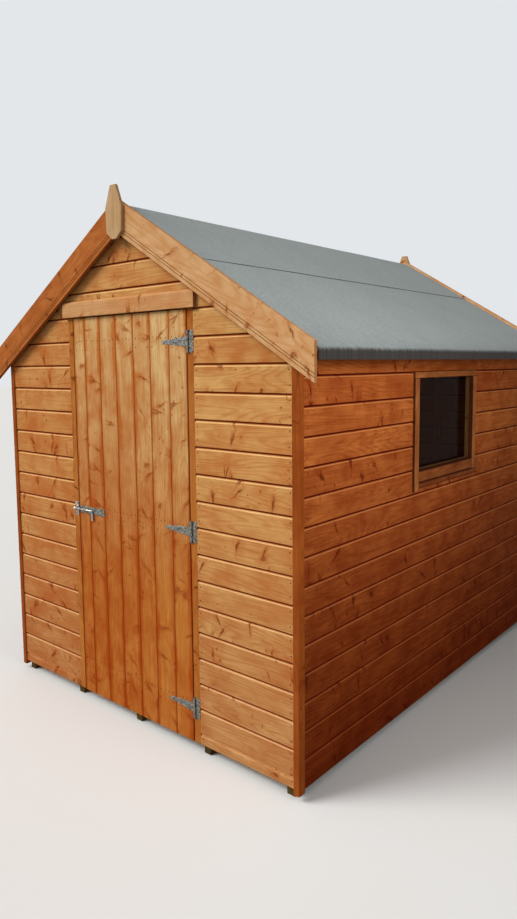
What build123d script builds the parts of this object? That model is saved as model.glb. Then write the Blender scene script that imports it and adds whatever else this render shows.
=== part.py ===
"""Timber garden shed with an apex roof: shiplap walls on a framed base, a ledged door on tee
hinges with a pad bolt, one fixed window and a felted roof trimmed with bargeboards."""

import math
import os

from build123d import *

os.makedirs("parts", exist_ok=True)

# Overall sizes
WIDTH = 1830.0
LENGTH = 2460.0
SIDE_WALL_TOP = 1743.5
ROOF_PITCH = 31.5

# Floor
BEARER_WIDTH = 38.0
BEARER_HEIGHT = 44.0
BEARER_COUNT = 5
BEARER_INSET = 11.0
FLOOR_THICKNESS = 12.0
FLOOR_SETBACK = 6.0

# Wall boards and the frame behind them
BOARD_THICKNESS = 12.0
STUD_DEPTH = 28.0
STUD_WIDTH = 44.0
SIDE_WALL_OFFSET = 10.0
SIDE_BOARD_DROP = 8.0
BACK_STUD_COUNT = 4
LEFT_STUD_COUNT = 6

# Corner strips
STRIP_WIDTH = 26.0
STRIP_DEPTH = 39.0
STRIP_PROUD = 6.0
STRIP_DROP = 20.0

# Doorway and door
DOORWAY_WIDTH = 770.0
DOORWAY_HEAD = 1866.0
JAMB_WIDTH = 35.0
DOOR_GAP = 5.0
DOOR_PROUD = 1.0
LEDGE_HEIGHT = 90.0
LEDGE_THICKNESS = 22.0
LEDGE_INSET = 10.0
BRACE_WIDTH = 80.0
HINGE_HEIGHTS = (197.0, 955.0, 1734.0)

# Drip board over the door
DRIP_LENGTH = 880.0
DRIP_HEIGHT = 72.0
DRIP_THICKNESS = 18.0
DRIP_BEVEL = 9.0

# Tee hinges
HINGE_STEEL = 2.0
HINGE_PLATE_HEIGHT = 90.0
STRAP_LENGTH = 156.0
STRAP_ROOT = 40.0
STRAP_TIP = 14.0
KNUCKLE_RADIUS = 5.0
PIN_RADIUS = 2.5
PIN_OFFSET = 11.0
KNUCKLE_HEIGHT = 34.0
HINGE_PLAY = 0.3

# Pad bolt
BOLT_HEIGHT = 955.0
BOLT_RADIUS = 5.0
BOLT_THROW = 35.0
BOLT_LENGTH = 152.0
BOLT_PLAY = 1.0
BOLT_PLATE_LENGTH = 185.0
BOLT_PLATE_HEIGHT = 33.0
BOLT_PLATE_INSET = 8.0
GUIDE_WIDTH = 12.0
GUIDE_SPACING = 42.0
GUIDE_STEEL = 2.5
HASP_WIDTH = 12.0
HASP_DROP = 45.0
HASP_THICKNESS = 4.0
KEEPER_WIDTH = 24.0
KEEPER_HEIGHT = 66.0
KEEPER_INSET = 3.0

# Window
WINDOW_WIDTH = 581.0
WINDOW_HEIGHT = 420.0
WINDOW_CENTRE = -33.5
WINDOW_BOTTOM = 1149.0
TRIM_WIDTH = 45.0
TRIM_PROUD = 10.0
TRIM_HEADER = 30.0
TRIM_RAIL = 60.0
SILL_HEIGHT = 25.0
SILL_HORN = 33.0
POST_FOOT = 10.0
SILL_STEP = 4.0
SILL_BEVEL = 6.0
GLASS_THICKNESS = 3.0
GLASS_RECESS = 18.0

# Roof
ROOF_BOARD = 11.0
ROOF_END_OVERHANG = 18.0
EAVES_OVERHANG = 124.0
EAVES_ROUNDING = 16.0
RIDGE_ROUNDING = 55.0
BATTEN_WIDTH = 44.0
BATTEN_HEIGHT = 28.0
PURLIN_WIDTH = 28.0
PURLIN_DEPTH = 44.0
RIDGE_BOARD_WIDTH = 28.0
RIDGE_BOARD_HEIGHT = 70.0
FELT_THICKNESS = 3.0
RIDGE_FELT_REACH = 457.0

# Bargeboards and finials
BARGE_DEPTH = 125.0
BARGE_THICKNESS = 16.0
BARGE_RISE = 15.0
BARGE_SHORT = 5.0
BARGE_BEAD_HEIGHTS = (17.0, 28.0)
BEAD_GROOVE = 3.0
FINIAL_THICKNESS = 14.0
FINIAL_TOP_WIDTH = 36.0
FINIAL_WIDTH = 108.0
FINIAL_FOOT_WIDTH = 98.0
FINIAL_TIP_WIDTH = 28.0
FINIAL_RISE = 50.0
FINIAL_SHOULDER = 93.0
FINIAL_LENGTH = 225.0
FINIAL_CUT = 29.0
BACK_FINIAL_DROP = 20.0

# Levels and planes that follow from the sizes
SLOPE = math.tan(math.radians(ROOF_PITCH))
TILT = math.cos(math.radians(ROOF_PITCH))
HALF_WIDTH = WIDTH / 2
FRONT = LENGTH / 2
WALL_BASE = BEARER_HEIGHT
FLOOR_TOP = BEARER_HEIGHT + FLOOR_THICKNESS
SIDE_INNER = HALF_WIDTH + SIDE_WALL_OFFSET
SIDE_OUTER = SIDE_INNER + BOARD_THICKNESS
ROOF_APEX = SIDE_WALL_TOP + SIDE_OUTER * SLOPE
BOARD_BACK = FRONT - BOARD_THICKNESS
FRAME_BACK = BOARD_BACK - STUD_DEPTH
SIDE_FRAME_INNER = SIDE_INNER - STUD_DEPTH
SIDE_END = FRONT + STRIP_PROUD - STRIP_DEPTH
ROOF_END = FRONT + ROOF_END_OVERHANG
EAVES_REACH = HALF_WIDTH + EAVES_OVERHANG
RIDGE_BOARD_HALF = RIDGE_BOARD_WIDTH / 2
BARGE_FACE = ROOF_END + BARGE_THICKNESS
BARGE_REACH = EAVES_REACH - BARGE_SHORT
DOORWAY_HALF = DOORWAY_WIDTH / 2
JAMB_OUTER = DOORWAY_HALF + JAMB_WIDTH
DOOR_HALF = DOORWAY_HALF - DOOR_GAP
DOOR_TOP = DOORWAY_HEAD - DOOR_GAP
DOOR_FACE = FRONT + DOOR_PROUD
DOOR_BACK = DOOR_FACE - BOARD_THICKNESS
WINDOW_TOP = WINDOW_BOTTOM + WINDOW_HEIGHT
WINDOW_FRONT_EDGE = WINDOW_CENTRE - WINDOW_WIDTH / 2
WINDOW_BACK_EDGE = WINDOW_CENTRE + WINDOW_WIDTH / 2
SILL_TOP = WINDOW_BOTTOM - TRIM_RAIL
SILL_BOTTOM = SILL_TOP - SILL_HEIGHT
HEADER_TOP = WINDOW_TOP + TRIM_HEADER
TRIM_FRONT_EDGE = WINDOW_FRONT_EDGE - TRIM_WIDTH
TRIM_BACK_EDGE = WINDOW_BACK_EDGE + TRIM_WIDTH
HINGE_X = DOOR_HALF + PIN_OFFSET
HINGE_Y = -(FRONT + KNUCKLE_RADIUS + HINGE_PLAY)
BOLT_Y = -(DOOR_FACE + HINGE_STEEL + BOLT_RADIUS + BOLT_PLAY)
BOLT_END = -(DOORWAY_HALF + BOLT_THROW)
GUIDE_INNER = BOLT_RADIUS + BOLT_PLAY
GUIDE_OUTER = GUIDE_INNER + GUIDE_STEEL


def underside(x):
    """Height of the roof boards' underside at a distance from the middle."""
    return ROOF_APEX - abs(x) * SLOPE


def above(x, thickness):
    """Height of a surface parallel to the roof boards' underside and that far above it."""
    return underside(x) + thickness / TILT


def outline(plane, points):
    """The closed outline through the points, filled, on the plane."""
    with BuildSketch(plane) as profile:
        with BuildLine():
            Polyline(*points, close=True)
        make_face()
    return profile.sketch


def upright(plane, low, high, base, cover=0.0):
    """The outline of a post or panel between two distances, cut off under the roof."""
    return outline(plane, [
        (low, base),
        (high, base),
        (high, above(high, -cover)),
        (low, above(low, -cover)),
    ])


def level_rail(plane, low, high, base):
    """The outline of a level rail between two distances."""
    return outline(plane, [
        (low, base),
        (high, base),
        (high, base + STUD_WIDTH),
        (low, base + STUD_WIDTH),
    ])


def end_plane(distance, back):
    """A vertical plane across the shed at that distance, at the front or at the back."""
    if back:
        return Plane.XZ.offset(-distance)
    return Plane.XZ.offset(distance)


# Floor
FLOOR_HALF = BOARD_BACK - FLOOR_SETBACK
BEARER_SPACING = (WIDTH - BEARER_WIDTH - 2 * BEARER_INSET) / (BEARER_COUNT - 1)

with BuildPart() as floor_bearers:
    with GridLocations(BEARER_SPACING, 0, BEARER_COUNT, 1):
        Box(BEARER_WIDTH, 2 * FLOOR_HALF, BEARER_HEIGHT, align=(Align.CENTER, Align.CENTER, Align.MIN))

with BuildPart() as floor_boards:
    with Locations((0, 0, BEARER_HEIGHT)):
        Box(WIDTH, 2 * FLOOR_HALF, FLOOR_THICKNESS, align=(Align.CENTER, Align.CENTER, Align.MIN))

# Front and back walls
front_plane = end_plane(FRONT, False)

with BuildPart() as front_wall_right:
    extrude(upright(front_plane, JAMB_OUTER, HALF_WIDTH, WALL_BASE), amount=-BOARD_THICKNESS)

with BuildPart() as front_wall_left:
    mirror(front_wall_right.part, about=Plane.YZ)

with BuildPart() as front_gable:
    with BuildSketch(front_plane):
        with BuildLine():
            Polyline(
                (-JAMB_OUTER, DOORWAY_HEAD),
                (JAMB_OUTER, DOORWAY_HEAD),
                (JAMB_OUTER, underside(JAMB_OUTER)),
                (0, underside(0)),
                (-JAMB_OUTER, underside(JAMB_OUTER)),
                close=True,
            )
        make_face()
    extrude(amount=-BOARD_THICKNESS)

with BuildPart() as back_wall:
    with BuildSketch(end_plane(FRONT, True)):
        with BuildLine():
            Polyline(
                (-HALF_WIDTH, WALL_BASE),
                (HALF_WIDTH, WALL_BASE),
                (HALF_WIDTH, underside(HALF_WIDTH)),
                (0, underside(0)),
                (-HALF_WIDTH, underside(HALF_WIDTH)),
                close=True,
            )
        make_face()
    extrude(amount=BOARD_THICKNESS)

# Side walls, with the window cut through the right one
window_plane = Plane.YZ.offset(SIDE_INNER)


def pane(low, high, base, top):
    """An upright rectangle in the right wall, between two distances and two levels."""
    return outline(window_plane, [(low, base), (high, base), (high, top), (low, top)])


trim_outline = pane(TRIM_FRONT_EDGE, TRIM_BACK_EDGE, SILL_TOP, HEADER_TOP)
post_outline = pane(TRIM_FRONT_EDGE, WINDOW_FRONT_EDGE, SILL_BOTTOM - POST_FOOT, HEADER_TOP)
sill_outline = pane(WINDOW_FRONT_EDGE, TRIM_BACK_EDGE + SILL_HORN, SILL_BOTTOM, SILL_TOP)

with BuildPart() as left_wall:
    extrude(
        upright(Plane.XZ, -SIDE_OUTER, -SIDE_INNER, WALL_BASE - SIDE_BOARD_DROP),
        amount=SIDE_END,
        both=True,
    )

with BuildPart() as right_wall:
    mirror(left_wall.part, about=Plane.YZ)
    for opening in (trim_outline, post_outline, sill_outline):
        extrude(opening, amount=BOARD_THICKNESS, mode=Mode.SUBTRACT)

# Frames of the front and back walls
RAIL_TOP = FLOOR_TOP + STUD_WIDTH
BACK_STUD_STEP = (WIDTH - STUD_WIDTH) / (BACK_STUD_COUNT - 1)
front_frame_plane = end_plane(BOARD_BACK, False)
back_frame_plane = end_plane(BOARD_BACK, True)


def gable_rail(plane):
    """The outline of the right sloping rail, from the ridge board to the corner."""
    return outline(plane, [
        (RIDGE_BOARD_HALF, underside(RIDGE_BOARD_HALF)),
        (RIDGE_BOARD_HALF, above(RIDGE_BOARD_HALF, -STUD_WIDTH)),
        (HALF_WIDTH, above(HALF_WIDTH, -STUD_WIDTH)),
        (HALF_WIDTH, underside(HALF_WIDTH)),
    ])


with BuildPart() as front_studs:
    for low in (DOORWAY_HALF, HALF_WIDTH - STUD_WIDTH):
        post = upright(front_frame_plane, low, low + STUD_WIDTH, RAIL_TOP, STUD_WIDTH)
        extrude(post, amount=-STUD_DEPTH)
    mirror(about=Plane.YZ)

with BuildPart() as front_rails:
    extrude(
        level_rail(front_frame_plane, DOORWAY_HALF, HALF_WIDTH, FLOOR_TOP),
        amount=-STUD_DEPTH,
    )
    extrude(gable_rail(front_frame_plane), amount=-STUD_DEPTH)
    mirror(about=Plane.YZ)
    extrude(
        level_rail(front_frame_plane, -DOORWAY_HALF, DOORWAY_HALF, DOORWAY_HEAD),
        amount=-STUD_DEPTH,
    )

with BuildPart() as back_studs:
    for index in range(BACK_STUD_COUNT):
        low = index * BACK_STUD_STEP - HALF_WIDTH
        post = upright(back_frame_plane, low, low + STUD_WIDTH, RAIL_TOP, STUD_WIDTH)
        extrude(post, amount=STUD_DEPTH)

with BuildPart() as back_rails:
    extrude(gable_rail(back_frame_plane), amount=STUD_DEPTH)
    mirror(about=Plane.YZ)
    extrude(
        level_rail(back_frame_plane, -HALF_WIDTH, HALF_WIDTH, FLOOR_TOP),
        amount=STUD_DEPTH,
    )

# Frames of the side walls
SIDE_RAIL_BASE = underside(SIDE_INNER) - STUD_WIDTH
SIDE_STUD_HEIGHT = SIDE_RAIL_BASE - RAIL_TOP
SIDE_STUD_END = FRAME_BACK - STUD_WIDTH
WINDOW_STUD_FRONT = WINDOW_FRONT_EDGE - STUD_WIDTH
RIGHT_STUDS = (
    -FRAME_BACK,
    (WINDOW_STUD_FRONT - FRAME_BACK) / 2,
    WINDOW_STUD_FRONT,
    WINDOW_BACK_EDGE,
    (WINDOW_BACK_EDGE + SIDE_STUD_END) / 2,
    SIDE_STUD_END,
)
LEFT_STUD_STEP = (FRAME_BACK + SIDE_STUD_END) / (LEFT_STUD_COUNT - 1)
right_frame_plane = Plane.YZ.offset(SIDE_FRAME_INNER)

with BuildPart() as right_studs:
    with BuildSketch(right_frame_plane):
        with Locations(*[(low, RAIL_TOP) for low in RIGHT_STUDS]):
            Rectangle(STUD_WIDTH, SIDE_STUD_HEIGHT, align=(Align.MIN, Align.MIN))
    extrude(amount=STUD_DEPTH)

with BuildPart() as left_studs:
    with BuildSketch(Plane.YZ.offset(-SIDE_INNER)):
        with Locations((0, RAIL_TOP + SIDE_STUD_HEIGHT / 2)):
            with GridLocations(LEFT_STUD_STEP, 0, LEFT_STUD_COUNT, 1):
                Rectangle(STUD_WIDTH, SIDE_STUD_HEIGHT)
    extrude(amount=STUD_DEPTH)

with BuildPart() as left_rails:
    with BuildSketch(Plane.XZ):
        with Locations((-SIDE_INNER, FLOOR_TOP)):
            Rectangle(STUD_DEPTH, STUD_WIDTH, align=(Align.MIN, Align.MIN))
    extrude(amount=FRAME_BACK, both=True)
    extrude(
        upright(Plane.XZ, -SIDE_INNER, -SIDE_FRAME_INNER, SIDE_RAIL_BASE),
        amount=FRAME_BACK,
        both=True,
    )

with BuildPart() as right_rails:
    mirror(left_rails.part, about=Plane.YZ)
    for base in (WINDOW_TOP, WINDOW_BOTTOM - STUD_WIDTH):
        extrude(
            level_rail(right_frame_plane, WINDOW_FRONT_EDGE, WINDOW_BACK_EDGE, base),
            amount=STUD_DEPTH,
        )

# Corner strips
with BuildPart() as corner_strips:
    extrude(
        upright(
            end_plane(FRONT + STRIP_PROUD, False),
            HALF_WIDTH,
            HALF_WIDTH + STRIP_WIDTH,
            WALL_BASE - STRIP_DROP,
        ),
        amount=-STRIP_DEPTH,
    )
    mirror(about=Plane.YZ)
    mirror(about=Plane.XZ)

# Doorway
with BuildPart() as door_jambs:
    with BuildSketch(front_plane):
        with Locations((-JAMB_OUTER, WALL_BASE), (DOORWAY_HALF, WALL_BASE)):
            Rectangle(JAMB_WIDTH, DOORWAY_HEAD - WALL_BASE, align=(Align.MIN, Align.MIN))
    extrude(amount=-BOARD_THICKNESS)

with BuildPart() as drip_board:
    with Locations((0, -FRONT, DOORWAY_HEAD)):
        Box(DRIP_LENGTH, DRIP_THICKNESS, DRIP_HEIGHT, align=(Align.CENTER, Align.MAX, Align.MIN))
    chamfer(drip_board.edges().filter_by(Axis.X).group_by(Axis.Z)[-1].sort_by(Axis.Y)[0], DRIP_BEVEL)

# Door, with its ledges at the hinges and a brace between each two
with BuildPart() as door_leaf:
    with BuildSketch(end_plane(DOOR_FACE, False)):
        with Locations((0, WALL_BASE)):
            Rectangle(2 * DOOR_HALF, DOOR_TOP - WALL_BASE, align=(Align.CENTER, Align.MIN))
    extrude(amount=-BOARD_THICKNESS)

LEDGE_HALF = DOOR_HALF - LEDGE_INSET
door_back_plane = end_plane(DOOR_BACK, False)

with BuildPart() as door_ledges:
    with BuildSketch(door_back_plane):
        with Locations(*[(0, height) for height in HINGE_HEIGHTS]):
            Rectangle(2 * LEDGE_HALF, LEDGE_HEIGHT)
    extrude(amount=-LEDGE_THICKNESS)

with BuildPart() as door_braces:
    for lower, upper in zip(HINGE_HEIGHTS, HINGE_HEIGHTS[1:]):
        brace = outline(door_back_plane, [
            (LEDGE_HALF - BRACE_WIDTH, lower + LEDGE_HEIGHT / 2),
            (LEDGE_HALF, lower + LEDGE_HEIGHT / 2),
            (BRACE_WIDTH - LEDGE_HALF, upper - LEDGE_HEIGHT / 2),
            (-LEDGE_HALF, upper - LEDGE_HEIGHT / 2),
        ])
        extrude(brace, amount=-LEDGE_THICKNESS)

# Tee hinges: a cross plate with two knuckles and a pin, and a tapered strap with one knuckle
PLATE_OUTER = JAMB_OUTER
PLATE_INNER = HINGE_X + KNUCKLE_RADIUS + HINGE_PLAY
KNUCKLE_END = HINGE_PLATE_HEIGHT / 2
SIDE_KNUCKLE = KNUCKLE_END - KNUCKLE_HEIGHT / 2 - HINGE_PLAY

with BuildPart() as hinge_plates:
    for height in HINGE_HEIGHTS:
        with BuildSketch(front_plane):
            with Locations(((PLATE_OUTER + PLATE_INNER) / 2, height)):
                RectangleRounded(PLATE_OUTER - PLATE_INNER, HINGE_PLATE_HEIGHT, HINGE_STEEL)
        extrude(amount=HINGE_STEEL)
        for base in (height - KNUCKLE_END, height + KNUCKLE_END - SIDE_KNUCKLE):
            with Locations(((HINGE_X + PLATE_OUTER) / 2, -FRONT - HINGE_PLAY, base)):
                Box(
                    PLATE_OUTER - HINGE_X,
                    HINGE_STEEL - HINGE_PLAY,
                    SIDE_KNUCKLE,
                    align=(Align.CENTER, Align.MAX, Align.MIN),
                )
            with Locations((HINGE_X, HINGE_Y, base)):
                Cylinder(KNUCKLE_RADIUS, SIDE_KNUCKLE, align=(Align.CENTER, Align.CENTER, Align.MIN))
        with Locations((HINGE_X, HINGE_Y, height)):
            Cylinder(PIN_RADIUS, HINGE_PLATE_HEIGHT)

STRAP_TIP_X = HINGE_X - STRAP_LENGTH

with BuildPart() as hinge_straps:
    for height in HINGE_HEIGHTS:
        with BuildSketch(end_plane(DOOR_FACE, False)):
            with BuildLine():
                Polyline(
                    (STRAP_TIP_X + STRAP_TIP / 2, height + STRAP_TIP / 2),
                    (DOOR_HALF, height + STRAP_ROOT / 2),
                    (DOOR_HALF, height + KNUCKLE_HEIGHT / 2),
                    (HINGE_X, height + KNUCKLE_HEIGHT / 2),
                    (HINGE_X, height - KNUCKLE_HEIGHT / 2),
                    (DOOR_HALF, height - KNUCKLE_HEIGHT / 2),
                    (DOOR_HALF, height - STRAP_ROOT / 2),
                    (STRAP_TIP_X + STRAP_TIP / 2, height - STRAP_TIP / 2),
                )
                ThreePointArc(
                    (STRAP_TIP_X + STRAP_TIP / 2, height - STRAP_TIP / 2),
                    (STRAP_TIP_X, height),
                    (STRAP_TIP_X + STRAP_TIP / 2, height + STRAP_TIP / 2),
                )
            make_face()
        extrude(amount=HINGE_STEEL)
        with Locations((HINGE_X, HINGE_Y, height)):
            Cylinder(KNUCKLE_RADIUS, KNUCKLE_HEIGHT)
            Hole(PIN_RADIUS + HINGE_PLAY, KNUCKLE_HEIGHT)

# Pad bolt: a round bar with a drop hasp in two guides, thrown into a keeper on the jamb
GUIDE_NEAR = -DOOR_HALF + BOLT_PLATE_INSET + GUIDE_WIDTH / 2
BOLT_PLATE_FACE = -DOOR_FACE - HINGE_STEEL
KEEPER_X = -DOORWAY_HALF - KEEPER_INSET - KEEPER_WIDTH / 2
HASP_X = BOLT_END + BOLT_LENGTH - HASP_WIDTH / 2


def arch(x, wall_face):
    """The section of a bent strap over the bar, standing on the plate behind it."""
    with BuildSketch(Plane.YZ.offset(x)) as section:
        with Locations((BOLT_Y, BOLT_HEIGHT)):
            Circle(GUIDE_OUTER)
            Rectangle(wall_face - BOLT_Y, 2 * GUIDE_OUTER, align=(Align.MIN, Align.CENTER))
            Circle(GUIDE_INNER, mode=Mode.SUBTRACT)
            Rectangle(
                wall_face - BOLT_Y,
                2 * GUIDE_INNER,
                align=(Align.MIN, Align.CENTER),
                mode=Mode.SUBTRACT,
            )
        with Locations((wall_face, BOLT_HEIGHT)):
            Rectangle(
                2 * GUIDE_OUTER,
                2 * GUIDE_OUTER,
                align=(Align.MIN, Align.CENTER),
                mode=Mode.SUBTRACT,
            )
    return section.sketch


with BuildPart() as bolt_plate:
    with BuildSketch(end_plane(DOOR_FACE, False)):
        with Locations((BOLT_PLATE_INSET - DOOR_HALF + BOLT_PLATE_LENGTH / 2, BOLT_HEIGHT)):
            RectangleRounded(BOLT_PLATE_LENGTH, BOLT_PLATE_HEIGHT, HINGE_STEEL)
    extrude(amount=HINGE_STEEL)
    for x in (GUIDE_NEAR, GUIDE_NEAR + GUIDE_SPACING):
        extrude(arch(x, BOLT_PLATE_FACE), amount=GUIDE_WIDTH / 2, both=True)

with BuildPart() as bolt_bar:
    with Locations((BOLT_END + BOLT_LENGTH / 2, BOLT_Y, BOLT_HEIGHT)):
        Cylinder(BOLT_RADIUS, BOLT_LENGTH, rotation=(0, 90, 0))
    chamfer(bolt_bar.edges().sort_by(Axis.X)[0], HINGE_STEEL)
    with BuildSketch(Plane.XZ.offset(-BOLT_Y)):
        with Locations((HASP_X, BOLT_HEIGHT)):
            Rectangle(HASP_WIDTH, HASP_DROP, align=(Align.CENTER, Align.MAX))
    extrude(amount=HASP_THICKNESS / 2, both=True)
    fillet(bolt_bar.edges().group_by(Axis.Z)[0].filter_by(Axis.Y), HASP_WIDTH / 3)

with BuildPart() as bolt_keeper:
    with BuildSketch(front_plane):
        with Locations((KEEPER_X, BOLT_HEIGHT)):
            RectangleRounded(KEEPER_WIDTH, KEEPER_HEIGHT, HINGE_STEEL)
    extrude(amount=HINGE_STEEL)
    extrude(arch(KEEPER_X, -FRONT - HINGE_STEEL), amount=GUIDE_WIDTH / 2, both=True)

# Window: a trim frame around the glass, its front post run down past a bevelled sill
FRAME_DEPTH = BOARD_THICKNESS + TRIM_PROUD

light_outline = pane(WINDOW_FRONT_EDGE, WINDOW_BACK_EDGE, WINDOW_BOTTOM, WINDOW_TOP)

with BuildPart() as window_frame:
    extrude(trim_outline, amount=FRAME_DEPTH)
    extrude(post_outline, amount=FRAME_DEPTH)
    extrude(light_outline, amount=FRAME_DEPTH, mode=Mode.SUBTRACT)

with BuildPart() as window_sill:
    extrude(sill_outline, amount=FRAME_DEPTH - SILL_STEP)
    chamfer(window_sill.edges().filter_by(Axis.Y).group_by(Axis.Z)[-1].sort_by(Axis.X)[-1], SILL_BEVEL)

with BuildPart() as window_glass:
    with BuildSketch(Plane.YZ.offset(SIDE_INNER - GLASS_RECESS)):
        with Locations((WINDOW_FRONT_EDGE, WINDOW_BOTTOM)):
            Rectangle(WINDOW_WIDTH, WINDOW_HEIGHT, align=(Align.MIN, Align.MIN))
    extrude(amount=-GLASS_THICKNESS)

# Roof
EAVES_UNDER = underside(EAVES_REACH)
PURLIN_X = EAVES_REACH / 2
BATTEN_INNER = EAVES_REACH - BATTEN_WIDTH
FELT_TOP = ROOF_BOARD + FELT_THICKNESS
FELT_REACH = EAVES_REACH + FELT_THICKNESS
FELT_LIP = EAVES_UNDER - BATTEN_HEIGHT

with BuildPart() as roof_right:
    with BuildSketch(Plane.XZ) as slope:
        with BuildLine():
            Polyline(
                (0, ROOF_APEX),
                (EAVES_REACH, EAVES_UNDER),
                (EAVES_REACH, above(EAVES_REACH, ROOF_BOARD)),
                (0, above(0, ROOF_BOARD)),
                close=True,
            )
        make_face()
        fillet(slope.vertices().group_by(Axis.X)[-1].sort_by(Axis.Y)[-1], EAVES_ROUNDING)
        mirror(about=Plane.YZ)
        fillet(slope.vertices().sort_by(Axis.Y)[-1], RIDGE_ROUNDING)
    extrude(amount=ROOF_END, both=True)
    split(bisect_by=Plane.YZ)

with BuildPart() as roof_left:
    mirror(roof_right.part, about=Plane.YZ)

with BuildPart() as felt_right:
    with BuildSketch(Plane.XZ) as sheet:
        with BuildLine():
            Polyline(
                (0, above(0, ROOF_BOARD)),
                (EAVES_REACH, above(EAVES_REACH, ROOF_BOARD)),
                (EAVES_REACH, FELT_LIP),
                (FELT_REACH, FELT_LIP),
                (FELT_REACH, above(FELT_REACH, FELT_TOP)),
                (0, above(0, FELT_TOP)),
                close=True,
            )
        make_face()
        outside, inside = sheet.vertices().group_by(Axis.X)[-1:-3:-1]
        fillet(inside.sort_by(Axis.Y)[-1], EAVES_ROUNDING - 1)
        fillet(outside.sort_by(Axis.Y)[-1], EAVES_ROUNDING + FELT_THICKNESS)
        mirror(about=Plane.YZ)
        fillet(sheet.vertices().sort_by(Axis.Y)[-2], RIDGE_ROUNDING)
        fillet(sheet.vertices().sort_by(Axis.Y)[-1], RIDGE_ROUNDING + FELT_THICKNESS)
    extrude(amount=ROOF_END, both=True)
    split(bisect_by=Plane.YZ)

with BuildPart() as felt_left:
    mirror(felt_right.part, about=Plane.YZ)

with BuildPart() as ridge_felt:
    with BuildSketch(Plane.XZ) as strip:
        with BuildLine():
            Polyline(
                (-RIDGE_FELT_REACH, above(RIDGE_FELT_REACH, FELT_TOP)),
                (-RIDGE_FELT_REACH, above(RIDGE_FELT_REACH, FELT_TOP + FELT_THICKNESS)),
                (0, above(0, FELT_TOP + FELT_THICKNESS)),
                (RIDGE_FELT_REACH, above(RIDGE_FELT_REACH, FELT_TOP + FELT_THICKNESS)),
                (RIDGE_FELT_REACH, above(RIDGE_FELT_REACH, FELT_TOP)),
                (0, above(0, FELT_TOP)),
                close=True,
            )
        make_face()
        fillet(strip.vertices().sort_by(Axis.Y)[-2], RIDGE_ROUNDING + FELT_THICKNESS)
        fillet(strip.vertices().sort_by(Axis.Y)[-1], RIDGE_ROUNDING + 2 * FELT_THICKNESS)
    extrude(amount=ROOF_END, both=True)

with BuildPart() as eaves_battens:
    with BuildSketch(Plane.XZ):
        with BuildLine():
            Polyline(
                (EAVES_REACH, EAVES_UNDER),
                (BATTEN_INNER, underside(BATTEN_INNER)),
                (BATTEN_INNER, underside(BATTEN_INNER) - BATTEN_HEIGHT),
                (EAVES_REACH, EAVES_UNDER - BATTEN_HEIGHT),
                close=True,
            )
        make_face()
    extrude(amount=ROOF_END, both=True)
    mirror(about=Plane.YZ)

with BuildPart() as roof_purlins:
    with BuildSketch(Plane.XZ):
        with Locations((PURLIN_X, underside(PURLIN_X))):
            Rectangle(
                PURLIN_WIDTH,
                PURLIN_DEPTH,
                rotation=-ROOF_PITCH,
                align=(Align.CENTER, Align.MAX),
            )
    extrude(amount=FRAME_BACK, both=True)
    mirror(about=Plane.YZ)

with BuildPart() as ridge_board:
    with BuildSketch(Plane.XZ):
        with BuildLine():
            Polyline(
                (-RIDGE_BOARD_HALF, ROOF_APEX - RIDGE_BOARD_HEIGHT),
                (RIDGE_BOARD_HALF, ROOF_APEX - RIDGE_BOARD_HEIGHT),
                (RIDGE_BOARD_HALF, underside(RIDGE_BOARD_HALF)),
                (0, ROOF_APEX),
                (-RIDGE_BOARD_HALF, underside(RIDGE_BOARD_HALF)),
                close=True,
            )
        make_face()
    extrude(amount=BOARD_BACK, both=True)

# Bargeboards, plumb cut at both ends, with a bead along the lower edge
BARGE_TOP = FELT_TOP + BARGE_RISE
BARGE_FOOT = BARGE_TOP - BARGE_DEPTH
FINIAL_PEAK = above(0, BARGE_TOP) + FINIAL_RISE
FINIAL_FOOT = FINIAL_PEAK - FINIAL_LENGTH


def sloping_band(plane, low, high):
    """The outline of a band across the right half of the gable, parallel to the roof."""
    return outline(plane, [
        (0, above(0, high)),
        (BARGE_REACH, above(BARGE_REACH, high)),
        (BARGE_REACH, above(BARGE_REACH, low)),
        (0, above(0, low)),
    ])


with BuildPart() as front_barge_right:
    extrude(
        sloping_band(end_plane(ROOF_END, False), BARGE_FOOT, BARGE_TOP),
        amount=BARGE_THICKNESS,
    )
    for height in BARGE_BEAD_HEIGHTS:
        groove = BARGE_FOOT + height
        extrude(
            sloping_band(
                end_plane(BARGE_FACE, False),
                groove - BEAD_GROOVE / 2,
                groove + BEAD_GROOVE / 2,
            ),
            amount=-BEAD_GROOVE,
            mode=Mode.SUBTRACT,
        )

with BuildPart() as front_barge_left:
    mirror(front_barge_right.part, about=Plane.YZ)

with BuildPart() as back_barge_right:
    mirror(front_barge_right.part, about=Plane.XZ)

with BuildPart() as back_barge_left:
    mirror(front_barge_left.part, about=Plane.XZ)

with BuildPart() as front_finial:
    with BuildSketch(end_plane(BARGE_FACE, False)):
        with BuildLine():
            Polyline(
                (0, FINIAL_PEAK),
                (FINIAL_TOP_WIDTH / 2, FINIAL_PEAK),
                (FINIAL_WIDTH / 2, FINIAL_PEAK - FINIAL_SHOULDER),
                (FINIAL_FOOT_WIDTH / 2, FINIAL_FOOT + FINIAL_CUT),
                (FINIAL_TIP_WIDTH / 2, FINIAL_FOOT),
                (0, FINIAL_FOOT),
            )
            mirror(about=Plane.YZ)
        make_face()
    extrude(amount=FINIAL_THICKNESS)

with BuildPart() as back_finial:
    with Locations((0, 0, -BACK_FINIAL_DROP)):
        add(mirror(front_finial.part, about=Plane.XZ, mode=Mode.PRIVATE))

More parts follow.
